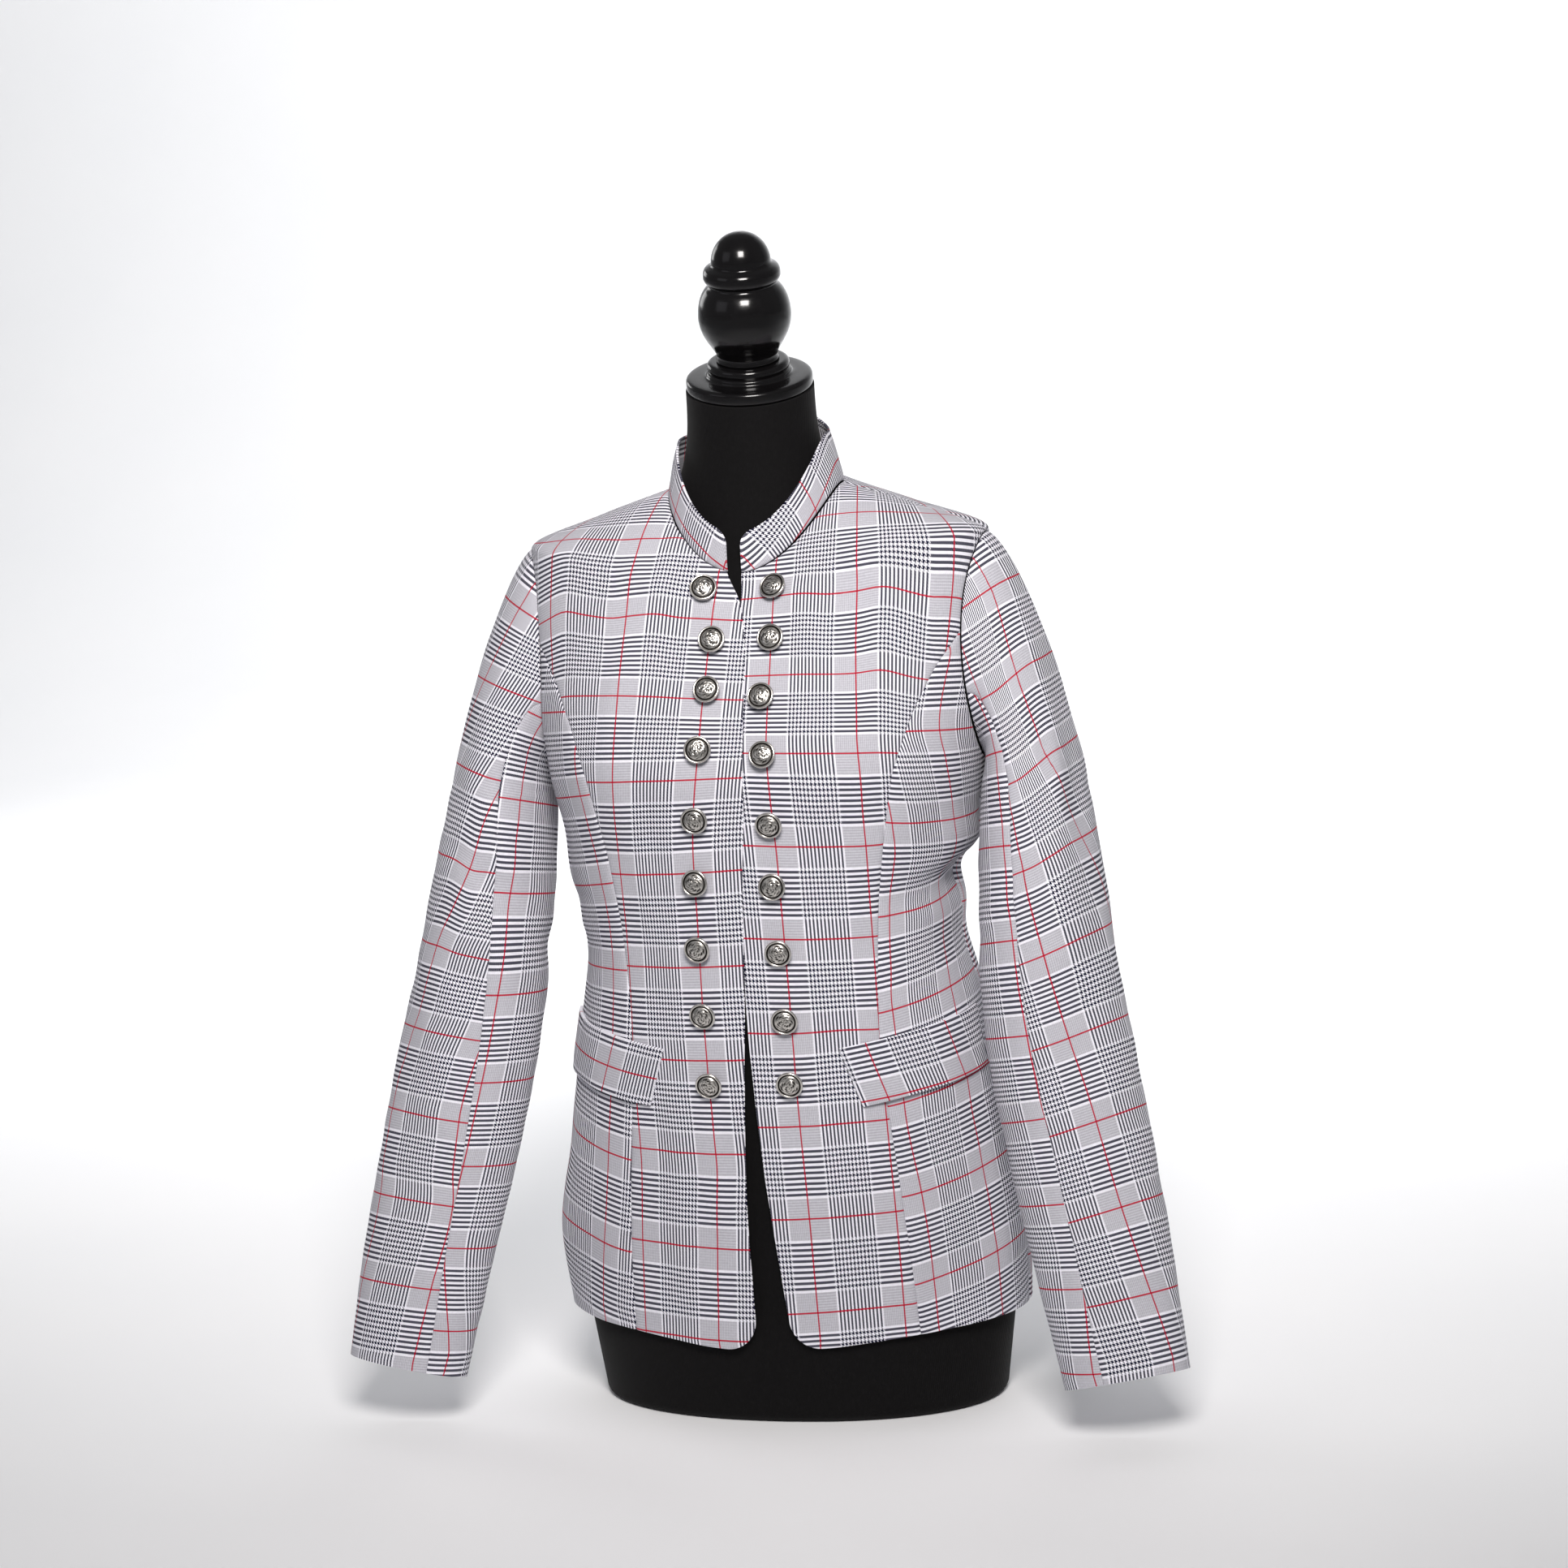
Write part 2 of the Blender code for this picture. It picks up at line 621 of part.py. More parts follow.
def armhole_point(step):
    """Girth and angle of a point of the armhole; steps below 0 run down its back."""
    step = np.asarray(step, float)
    girth = armhole_girth(step)
    front = armhole_angle(girth, ARMHOLE_FRONT)
    return girth, np.where(step >= 0, front, 180 - armhole_angle(girth, ARMHOLE_BACK))


def armhole_frame(side, step):
    """Point, outward normal and direction into the hole, on one side of the body."""
    girth, angle = armhole_point(step)
    point = body(girth, side * angle)
    normal = body_normal(girth, side * angle)
    before = body(*signed_armhole(side, step - 2.0))
    after = body(*signed_armhole(side, step + 2.0))
    along = unit(after - before)
    across = unit(np.cross(normal, along)) * side
    return point, normal, across


def signed_armhole(side, step):
    girth, angle = armhole_point(wrap(step))
    return girth, side * angle


def arm_value(name, share):
    stations = np.linspace(0.0, 1.0, len(SLEEVE_RINGS))
    return smooth(share, stations, column(SLEEVE_COLUMNS, SLEEVE_RINGS, name))


def arm_ring(side, share, step):
    """A ring of the sleeve square to the arm: step is 0 outside, 90 in front, 180 inside."""
    names = ("x_right" if side < 0 else "x_left", "y", "z")
    centre = np.stack([arm_value(name, share) for name in names], -1)
    ahead = np.clip(share + 0.02, 0, 1)
    behind = np.clip(share - 0.02, 0, 1)
    path = unit(np.stack([arm_value(name, ahead) - arm_value(name, behind) for name in names], -1))
    outward = unit(np.array([1.0, 0.0, 0.0]) - path * path[..., :1])
    forward = unit(np.cross(path, outward))
    forward = forward * np.where(forward[..., 1:2] > 0, -1.0, 1.0)
    c = np.cos(np.radians(step))
    s = np.sin(np.radians(step))
    width = arm_value("half_width", share)
    depth = arm_value("half_depth", share)
    ring = centre + outward * (width * c)[..., None] + forward * (depth * s)[..., None]
    return ring, path


def plain_sleeve(side, down, step):
    """Sleeve without folds: the cap is a cubic from the armhole to the first ring of the arm."""
    down = np.asarray(down, float)
    step = np.asarray(step, float)
    point, normal, across = armhole_frame(side, wrap(step))
    point = point + across * SLEEVE_SEAM_GAP
    point = point * np.array([side, 1.0, 1.0])
    normal = normal * np.array([side, 1.0, 1.0])
    across = across * np.array([side, 1.0, 1.0])
    seam_drift = SLEEVE_SEAM_DRIFT_RIGHT if side < 0 else SLEEVE_SEAM_DRIFT_LEFT
    drift = seam_drift * down * np.sin(np.radians(step)) ** 2
    arm_share = np.clip((down - CAP_SHARE) / (1 - CAP_SHARE), 0.0, 1.0)
    ring, path = arm_ring(side, arm_share, step + drift)
    outer = (1 + np.cos(np.radians(step))) / 2
    start_pull = CAP_UNDERARM + (CAP_RISE - CAP_UNDERARM) * outer
    end_pull = CAP_UNDERARM + (CAP_FALL - CAP_UNDERARM) * outer
    leave = unit(across * outer[..., None] + normal * CAP_LIFT + np.array([CAP_OUTWARD, 0.0, 0.0]))
    t = np.clip(down / CAP_SHARE, 0.0, 1.0)[..., None]
    cubic = (
        point * (1 + 2 * t) * (1 - t) ** 2
        + leave * start_pull[..., None] * t * (1 - t) ** 2
        + ring * (3 - 2 * t) * t**2
        + path * end_pull[..., None] * (t - 1) * t**2
    )
    whole = np.where((down < CAP_SHARE)[..., None], cubic, ring)
    return whole * np.array([side, 1.0, 1.0])


def wrap(step):
    return (step + 180.0) % 360.0 - 180.0


def sleeve_normal(surface, side, down, step):
    inside = np.clip(down, 0.012, 0.988)
    du = surface(side, inside + 0.01, step) - surface(side, inside - 0.01, step)
    dv = surface(side, inside, step + 1.5) - surface(side, inside, step - 1.5)
    return unit(np.cross(dv, du)) * side


def sleeve(side, down, step):
    """Outer face of a sleeve, with its largest folds."""
    folds = LEFT_SLEEVE_FOLDS if side > 0 else RIGHT_SLEEVE_FOLDS
    around = (wrap(step - SLEEVE_CENTRE) + SLEEVE_CENTRE) * SLEEVE_MM_PER_DEGREE
    height = fold_height(around, down * SLEEVE_LENGTH, folds, SLEEVE_MM_PER_DEGREE, SLEEVE_LENGTH)
    height = height * smoothstep(down, 0.02, 0.12) * (1 - smoothstep(down, 0.93, 1.0))
    normal = sleeve_normal(plain_sleeve, side, down, step)
    return plain_sleeve(side, down, step) + normal * height[..., None]


def build_sleeve_panel(side, name, first_step, last_step):
    steps = np.arange(first_step, last_step + 0.1, ARMHOLE_STEP)
    gap = np.zeros(steps.shape)
    gap[0] = SLEEVE_HALF_GAP_ANGLE
    gap[-1] = -SLEEVE_HALF_GAP_ANGLE
    down = np.concatenate([CAP_ROWS, np.linspace(CAP_SHARE, 1.0, ARM_ROWS)])
    down_grid, step_grid = np.meshgrid(down, steps, indexing="ij")
    step_grid = step_grid + gap
    points = sleeve(side, down_grid, step_grid)
    normal = sleeve_normal(sleeve, side, down_grid, step_grid)
    wall(name, points, points - normal * WALL, CLOTH)


# Buttons, form and its cap


def place(piece, location, axis):
    """Stand a turned piece on a place, its Z along an axis."""
    side = unit(np.cross([0.0, 0.0, 1.0] if abs(axis[2]) < 0.9 else [0.0, -1.0, 0.0], axis))
    turn = np.stack([side, np.cross(axis, side), axis], 1)
    count = len(piece.data.vertices)
    points = np.empty(count * 3)
    piece.data.vertices.foreach_get("co", points)
    points = points.reshape(-1, 3) @ turn.T + np.asarray(location) * MM
    piece.data.vertices.foreach_set("co", points.reshape(-1))
    piece.data.update()


def build_buttons():
    for number, row in enumerate(BUTTONS, 1):
        values = dict(zip(BUTTON_COLUMNS, row))
        for side, word in ((-1, "right"), (1, "left")):
            girth = float(values[f"{word}_girth"])
            angle = float(angle_at(girth, values[f"{word}_x"])) * side
            around = [(girth, angle), (girth - 3.0, angle), (girth + 3.0, angle)]
            around += [(girth, angle - 1.5), (girth, angle + 1.5)]
            near, _ = front_points(side, *np.array(around).T)
            normal = unit(np.cross(near[4] - near[3], near[2] - near[1])) * side
            lean = unit(normal + np.array([0.0, 0.0, math.sin(math.radians(values[f"{word}_tip"]))]))
            seat = near[0] + normal * BUTTON_SEAT_GAP
            button = turned(f"button_{word}_{number}", BUTTON_PROFILE, BUTTON_SIDES, METAL)
            place(button, seat, lean)


def neck_axis():
    forward = math.radians(NECK_TILT_FORWARD)
    sideways = math.radians(NECK_TILT_SIDE)
    return unit(np.array([math.sin(sideways), -math.sin(forward), math.cos(forward)]))


def build_form():
    """The torso: rings inside the blazer, closed below by a flat base and above by the slanted neck."""
    half = np.sort(np.concatenate([FORM_ANGLES, [90.0], 180.0 - np.array(FORM_ANGLES[1:])]))
    turn = np.concatenate([half, 180.0 + half])
    signed = np.where(turn > 180, turn - 360, turn)
    rings = []
    base_rows = ((0.0, FORM_BASE_ROUND), (FORM_BASE_ROUND / 3, FORM_BASE_ROUND / 4), (FORM_BASE_ROUND, 0.0))
    for height, inset in base_rows:
        width = FORM_BASE_HALF_WIDTH - inset
        depth = FORM_BASE_DEPTH - inset
        c = np.cos(np.radians(turn))
        s = np.sin(np.radians(turn))
        power = FORM_SQUARENESS
        reach = ((np.abs(s) / width) ** power + (np.abs(c) / depth) ** power) ** (-1 / power)
        rings.append(np.stack([reach * s, -reach * c, np.full(turn.shape, height)], -1))
    high_rows = [girth for girth in armhole_rows() if girth > FORM_GIRTHS[-1] + 10]
    girths = np.concatenate([FORM_GIRTHS, high_rows, shoulder_rows()])
    for girth in girths:
        level = np.full(turn.shape, float(girth))
        high = smoothstep(level, *FORM_SHOULDER_GIRTHS)
        clearance = FORM_CLEARANCE + (FORM_SHOULDER_CLEARANCE - FORM_CLEARANCE) * high
        ridge = np.exp(-(((np.abs(signed) - 90) / FORM_SEAT_ANGLE) ** 2))
        ridge = ridge * high * (1 - smoothstep(level, *FORM_SEAT_END))
        clearance = clearance + (FORM_SEAT_CLEARANCE - clearance) * ridge
        points = body(level, signed) - body_normal(level, signed) * (WALL + clearance)[..., None]
        rings.append(points)
    axis = neck_axis()
    across = unit(np.cross([0.0, 1.0, 0.0], axis))
    back = np.cross(axis, across)
    c = np.cos(np.radians(turn))[:, None]
    s = np.sin(np.radians(turn))[:, None]
    seam = rings[-1]
    top = np.array([0.0, NECK_Y, NECK_TOP_Z]) + (across * s - back * c) * NECK_RADIUS
    for share in FORM_NECK_SHARES:
        inwards = 1 - (1 - share) ** 3
        ring = seam + (top - seam) * np.array([inwards, inwards, share])
        rings.append(ring)
    sides = len(turn)
    points = np.concatenate(rings)
    faces = []
    for ring in range(len(rings) - 1):
        for one in range(sides):
            a = ring * sides + one
            b = ring * sides + (one + 1) % sides
            faces += [(a, b, b + sides), (a, b + sides, a + sides)]
    last = (len(rings) - 1) * sides
    faces.append(tuple(reversed(range(sides))))
    faces.append(tuple(last + one for one in range(sides)))
    new_object("form_torso", points, faces, JERSEY)


def build_cap():
    axis = neck_axis()
    foot = np.array([0.0, NECK_Y, NECK_TOP_Z]) + axis * PLATE_GAP
    place(turned("neck_disc", DISC_PROFILE, TURNED_SIDES, LACQUER), foot, axis)
    place(turned("finial", FINIAL_PROFILE, TURNED_SIDES, LACQUER), foot, axis)


def clear_scene():
    for piece in list(bpy.data.objects):
        bpy.data.objects.remove(piece, do_unlink=True)


def main():
    clear_scene()
    for side, word in ((-1, "right"), (1, "left")):
        build_front(side, f"front_{word}")
        build_side_front(side, f"side_front_{word}")
        build_back(side, f"back_{word}")
        build_flap(side, f"flap_{word}")
        build_sleeve_panel(side, f"sleeve_upper_{word}", SLEEVE_BACK_SEAM, SLEEVE_FRONT_SEAM)
        build_sleeve_panel(side, f"sleeve_under_{word}", SLEEVE_FRONT_SEAM, 360 + SLEEVE_BACK_SEAM)
    build_collar()
    build_buttons()
    build_form()
    build_cap()


main()
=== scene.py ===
import math

import bpy
import numpy as np
from mathutils import Matrix, Vector


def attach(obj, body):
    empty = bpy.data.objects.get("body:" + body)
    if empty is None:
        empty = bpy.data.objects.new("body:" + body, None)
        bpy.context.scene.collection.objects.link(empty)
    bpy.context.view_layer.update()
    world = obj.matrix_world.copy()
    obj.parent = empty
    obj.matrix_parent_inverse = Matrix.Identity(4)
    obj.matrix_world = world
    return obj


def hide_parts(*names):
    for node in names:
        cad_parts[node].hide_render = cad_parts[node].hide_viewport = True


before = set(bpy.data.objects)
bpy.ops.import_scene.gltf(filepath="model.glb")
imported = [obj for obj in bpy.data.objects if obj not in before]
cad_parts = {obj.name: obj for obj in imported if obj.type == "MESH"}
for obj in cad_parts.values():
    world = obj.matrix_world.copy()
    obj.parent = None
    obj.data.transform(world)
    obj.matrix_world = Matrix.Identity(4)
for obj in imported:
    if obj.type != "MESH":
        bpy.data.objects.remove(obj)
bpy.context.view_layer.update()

# Lengths are in millimetres and are turned to metres where a mesh is made.
# The blazer faces -Y and the wearer's left is +X.
metres = 0.001

cloth = {
    "wall": 1.6,
    "seamGap": 0.06,
    "gapRadius": 110.0,
    "sleeveGap": 0.12,
    "seamDip": 1.15,
    "seamWidth": 1.7,
    "frontLift": 2.3,
    "liftStrip": 52.0,
    "liftBlend": 30.0,
    "hem": 62.0,
    "underarm": 511.0,
    "shoulder": 640.0,
    "neck": 672.0,
    "cornerRadius": 27.0,
    "cornerTop": 200.0,
    "armholeFront": 17.0,
    "armholeBack": 15.0,
    "princessStep": 75.0,
    "perAngle": 2.6,
    "foldsEnd": (630.0, 660.0),
    "rippleSeed": 11,
    "ripple": 0.32,
    "rimBulge": 0.22,
}
bust = {"angle": 37.0, "perAngle": 2.2, "girth": 533.0, "radius": 52.0, "height": 7.0}

ringNames = ("girth", "sideZ", "backZ", "width", "front", "back", "sideY", "power")
rings = (
    (62, 76, 70, 188, 106, 116, 0, 2.10),
    (130, 138, 136, 189, 112, 121, 0, 2.15),
    (210, 214, 214, 181, 117, 117, 0, 2.20),
    (305, 306, 308, 166, 119, 100, 0, 2.25),
    (385, 386, 388, 154, 119, 90, 0, 2.30),
    (450, 452, 454, 162, 121, 94, 0, 2.40),
    (511, 516, 518, 175, 122, 102, 0, 2.50),
    (560, 574, 576, 181, 113, 108, 0, 2.50),
    (600, 634, 636, 184, 99, 108, 0, 2.40),
    (640, 692, 698, 184, 82, 98, 0, 2.20),
    (657, 716, 730, 126, 76, 76, 4, 2.10),
    (672, 734, 753, 70, 74, 54, 8, 2.05),
)

# The solids' own folds: angle, girth, turn, half length, half width and height
bodyFolds = (
    (-38, 620, 78, 60, 15, 1.8),
    (-24, 610, 100, 55, 16, -1.6),
    (34, 615, 96, 60, 16, 1.8),
    (50, 600, 84, 50, 14, -1.4),
    (86, 453, -6, 60, 15, 4.5),
    (88, 423, 0, 66, 17, -14.0),
    (88, 380, 0, 60, 28, -5.0),
    (-92, 428, 0, 72, 36, 7.0),
    (120, 430, 10, 60, 18, 3.5),
    (-125, 440, -8, 60, 18, 3.5),
    (150, 395, 0, 50, 16, -3.0),
    (-155, 398, 0, 50, 16, -3.0),
    (-84, 118, 70, 74, 28, 6.0),
    (66, 150, 84, 80, 28, -3.0),
)

# Smaller creases, placed as the photo shows them, and like ones on the hidden back
bodyCreases = (
    (-50, 636, 60, 34, 8, 0.9),
    (-58, 615, 76, 40, 8, -1.0),
    (-44, 575, 84, 46, 9, 0.8),
    (-30, 560, 96, 40, 10, -0.7),
    (-16, 540, 92, 44, 9, 0.6),
    (22, 560, 88, 44, 9, -0.7),
    (58, 622, 108, 40, 8, 1.1),
    (66, 590, 98, 38, 8, -1.0),
    (40, 470, 88, 60, 10, 0.6),
    (30, 410, 84, 50, 12, -0.6),
    (-34, 420, 96, 60, 12, 0.7),
    (-20, 380, 80, 50, 11, -0.6),
    (74, 440, 8, 44, 7, 1.4),
    (70, 408, -8, 44, 8, -1.6),
    (-72, 415, 6, 44, 9, -1.3),
    (-70, 392, -4, 40, 8, 1.1),
    (24, 180, 92, 60, 12, 0.8),
    (-26, 170, 86, 60, 12, -0.8),
    (-60, 100, 80, 46, 12, 1.4),
    (50, 110, 96, 50, 12, 1.2),
    (110, 600, 80, 50, 12, 1.6),
    (128, 590, 100, 50, 12, -1.4),
    (-112, 600, 98, 50, 12, 1.4),
    (-130, 585, 82, 50, 13, -1.5),
    (160, 560, 92, 60, 14, 1.0),
    (-165, 540, 88, 60, 14, -1.0),
    (140, 420, 6, 40, 8, 1.6),
    (-142, 410, -6, 40, 8, 1.6),
    (165, 380, 10, 36, 9, -1.4),
    (-170, 376, -8, 36, 9, -1.2),
    (125, 180, 88, 80, 18, 1.8),
    (-130, 170, 94, 80, 18, -1.8),
    (175, 160, 90, 70, 15, 1.2),
)

frontEdges = {
    "girth": (62, 150, 278, 340, 385, 430, 510, 600, 640, 672),
    "right": (-10, -10, -5, -1, 1, 3, 9, 10, 6, -9),
    "left": (16, 10, 2, 0, 1, 1, 3, 3, 4, 3),
}

princess = {
    "girth": (62, 200, 305, 385, 450, 511, 545, 573, 592.2),
    "angle": (53.8, 48.0, 45.0, 46.8, 48.0, 50.0, 55.5, 63.5, 73.7),
}


def table(values):
    return np.array(values, float)


def smooth(at, stations, values):
    # Cubic pieces between a table's rows, with slopes that never swing past them.
    stations = table(stations)
    values = table(values)
    at = np.clip(np.asarray(at, float), stations[0], stations[-1])
    rises = np.diff(values) / np.diff(stations)
    before, after = rises[:-1], rises[1:]
    product = before * after
    inner = np.where(product > 0, 2 * product / np.where(product > 0, before + after, 1.0), 0.0)
    slopes = np.concatenate([rises[:1], inner, rises[-1:]])
    left = np.clip(np.searchsorted(stations, at, side="right") - 1, 0, len(stations) - 2)
    width = stations[left + 1] - stations[left]
    t = (at - stations[left]) / width
    start = values[left] * (1 + 2 * t) * (1 - t) ** 2 + slopes[left] * width * t * (1 - t) ** 2
    end = values[left + 1] * (3 - 2 * t) * t**2 + slopes[left + 1] * width * (t - 1) * t**2
    return start + end


def unit(vectors):
    return vectors / np.maximum(np.linalg.norm(vectors, axis=-1, keepdims=True), 1e-9)


def ease(value, low, high):
    t = np.clip((value - low) / (high - low), 0.0, 1.0)
    return t * t * (3 - 2 * t)


def foldHeight(around, up, folds, perAngle, perGirth):
    # Sum of long bells: each is height times exp(-(along/length)^2 - (across/width)^2).
    total = np.zeros(np.broadcast(around, up).shape)
    for angle, girth, turn, length, width, height in folds:
        c = math.cos(math.radians(turn))
        s = math.sin(math.radians(turn))
        right = around - angle * perAngle
        rise = up - girth * perGirth
        lengthways = (right * c + rise * s) / length
        sideways = (rise * c - right * s) / width
        total = total + height * np.exp(-(lengthways**2) - sideways**2)
    return total


def ripple(across, up, seed, size):
    # Uneven low waves: a few sines of unlike lengths and directions, added together.
    random = np.random.default_rng(seed)
    total = np.zeros(np.broadcast(across, up).shape)
    for wave in range(7):
        turn = random.uniform(0, math.pi)
        length = random.uniform(26, 90)
        shift = random.uniform(0, 2 * math.pi)
        total = total + np.sin((across * math.cos(turn) + up * math.sin(turn)) * 2 * math.pi / length + shift)
    return total * size / 7**0.5


ringTable = {name: table([row[i] for row in rings]) for i, name in enumerate(ringNames)}


def ringValue(girth, name):
    return smooth(girth, ringTable["girth"], ringTable[name])


def plainBody(girth, angle):
    # Superellipse ring of a girth, whose height eases from the middle to the side.
    s = np.sin(np.radians(angle))
    c = np.cos(np.radians(angle))
    depth = np.where(c > 0, ringValue(girth, "front"), ringValue(girth, "back"))
    middleZ = np.where(c > 0, ringValue(girth, "girth"), ringValue(girth, "backZ"))
    power = ringValue(girth, "power")
    reach = (np.abs(s / ringValue(girth, "width")) ** power + np.abs(c / depth) ** power) ** (-1 / power)
    sideZ = ringValue(girth, "sideZ")
    z = sideZ + (middleZ - sideZ) * c**2
    return np.stack(np.broadcast_arrays(reach * s, ringValue(girth, "sideY") - reach * c, z), -1)


def surfaceNormal(surface, girth, angle):
    # Cross product of the surface's two central differences, outwards.
    girth = np.clip(girth, cloth["hem"] + 1.0, cloth["neck"] - 1.0)
    du = surface(girth + 1.0, angle) - surface(girth - 1.0, angle)
    dv = surface(girth, angle + 0.5) - surface(girth, angle - 0.5)
    return unit(np.cross(dv, du))


def bustHeight(girth, angle):
    # A round bell on each side: height times exp(-(distance / radius)^2).
    total = 0.0
    for side in (-1, 1):
        across = (angle - side * bust["angle"]) * bust["perAngle"]
        squared = across**2 + (girth - bust["girth"]) ** 2
        total = total + bust["height"] * np.exp(-squared / bust["radius"] ** 2)
    return total


def bodyRelief(girth, angle):
    # The bust and the folds, which end before the neck.
    around = angle * cloth["perAngle"]
    folds = foldHeight(around, girth, bodyFolds + bodyCreases, cloth["perAngle"], 1.0)
    folds = folds + ripple(around, girth, cloth["rippleSeed"], cloth["ripple"])
    return bustHeight(girth, angle) + folds * (1 - ease(girth, *cloth["foldsEnd"]))


def body(girth, angle):
    girth = np.asarray(girth, float)
    angle = np.asarray(angle, float)
    relief = bodyRelief(girth, angle)[..., None]
    return plainBody(girth, angle) + surfaceNormal(plainBody, girth, angle) * relief


def bodyNormal(girth, angle):
    return surfaceNormal(body, girth, angle)


def angleAt(girth, x):
    return np.degrees(np.arctan2(x, ringValue(girth, "front")))


def edgeX(girth, side):
    return smooth(girth, frontEdges["girth"], frontEdges["right" if side < 0 else "left"])


def princessAngle(girth):
    return smooth(girth, princess["girth"], princess["angle"])


def armholeGirth(step):
    return cloth["shoulder"] + (cloth["underarm"] - cloth["shoulder"]) * (1 - np.cos(np.radians(step))) / 2


def armholeAngle(girth, depth):
    share = np.clip((cloth["shoulder"] - girth) / (cloth["shoulder"] - cloth["underarm"]), 0.0, 1.0)
    return 90 - depth * np.sin(np.pi * share) ** 0.5


def seamStep(girth):
    return np.degrees(cloth["seamGap"] / np.minimum(ringValue(girth, "width"), cloth["gapRadius"]))


def outerLimit(girth, depth):
    seam = 90 - seamStep(girth)
    hole = np.minimum(armholeAngle(girth, depth), seam)
    inHole = (girth > cloth["underarm"] - 0.01) & (girth < cloth["shoulder"] + 0.01)
    return np.where(inHole, hole, seam)


def fromEdge(side, girth, angle):
    # Distance across from the front edge.
    return np.tan(np.radians(np.clip(angle, -60, 60))) * ringValue(girth, "front") - side * edgeX(girth, side)


def frontPoint(side, girth, angle):
    # Points and normals of a centre front: its hem corner is rounded and the right one laps the left.
    across = np.abs(fromEdge(side, girth, angle))
    radius = cloth["cornerRadius"]
    corner = np.clip(radius - across, 0.0, None)
    rise = radius - np.sqrt(radius**2 - corner**2)
    full = cloth["cornerTop"] - cloth["hem"]
    raised = cloth["cornerTop"] + (girth - cloth["cornerTop"]) * (full - rise) / full
    girth = np.where(girth < cloth["cornerTop"], raised, girth)
    point = body(girth, side * angle)
    normal = bodyNormal(girth, side * angle)
    if side < 0:
        lift = 1 - ease(across, cloth["liftStrip"], cloth["liftStrip"] + cloth["liftBlend"])
        point = point + normal * (cloth["frontLift"] * lift)[..., None]
    return point, normal


# Meshes


def addMesh(name, points, faces, uv=None, smoothAngle=45.0):
    # A mesh in metres from arrays of points and faces, with cloth coordinates in millimetres.
    mesh = bpy.data.meshes.new(name)
    points = np.asarray(points, float) * metres
    if isinstance(faces, list):
        sizes = np.array([len(face) for face in faces])
        corners = np.concatenate([np.asarray(face) for face in faces])
    else:
        sizes = np.full(len(faces), faces.shape[1])
        corners = faces.reshape(-1)
    mesh.vertices.add(len(points))
    mesh.vertices.foreach_set("co", points.reshape(-1))
    mesh.loops.add(len(corners))
    mesh.loops.foreach_set("vertex_index", corners.astype(np.int32))
    mesh.polygons.add(len(sizes))
    mesh.polygons.foreach_set("loop_start", np.concatenate([[0], np.cumsum(sizes)[:-1]]).astype(np.int32))
    mesh.update(calc_edges=True)
    mesh.validate()
    if uv is not None:
        layer = mesh.uv_layers.new(name="weave")
        layer.data.foreach_set("uv", np.asarray(uv, float)[corners].reshape(-1))
    mesh.shade_smooth()
    mesh.set_sharp_from_angle(angle=math.radians(smoothAngle))
    piece = bpy.data.objects.new(name, mesh)
    bpy.context.scene.collection.objects.link(piece)
    return piece


def gridFaces(index, flip=False):
    a, b = index[:-1, :-1], index[:-1, 1:]
    c, d = index[1:, 1:], index[1:, :-1]
    faces = np.stack([a, d, c, b] if flip else [a, b, c, d], -1)
    return faces.reshape(-1, 4)


def ringFaces(rows, columns):
    # Quads round a stack of closed rings.
    index = np.arange(rows * columns).reshape(rows, columns)
    nextIndex = np.roll(index, -1, axis=1)
    return np.stack([index[:-1], nextIndex[:-1], nextIndex[1:], index[1:]], -1).reshape(-1, 4)


def along(points, axis):
    # Length run along a grid, from its first row or column.
    steps = np.linalg.norm(np.diff(points, axis=axis), axis=-1)
    zero = np.zeros_like(np.take(steps, [0], axis=axis))
    return np.concatenate([zero, np.cumsum(steps, axis=axis)], axis=axis)


def clothCoordinates(points, row, column):
    # Threads' coordinates: v is the length run up each column from one row. u is run along each
    # row from one column, by what is left of each step once v's own change is taken out.
    v = along(points, 0)
    v = v - v[row][None, :]
    steps = np.linalg.norm(np.diff(points, axis=1), axis=-1) ** 2 - np.diff(v, axis=1) ** 2
    u = np.concatenate([np.zeros((len(points), 1)), np.cumsum(np.sqrt(np.maximum(steps, 0)), axis=1)], axis=1)
    column = np.asarray(column)
    low = np.clip(np.floor(column).astype(int), 0, points.shape[1] - 2)
    rows = np.arange(len(points))
    start = u[rows, low] + (u[rows, low + 1] - u[rows, low]) * (column - low)
    u = u - start[:, None]
    return u, v


def edgeTotal(grid):
    return sum(np.linalg.norm(np.diff(grid, axis=axis), axis=-1).sum() for axis in (0, 1))


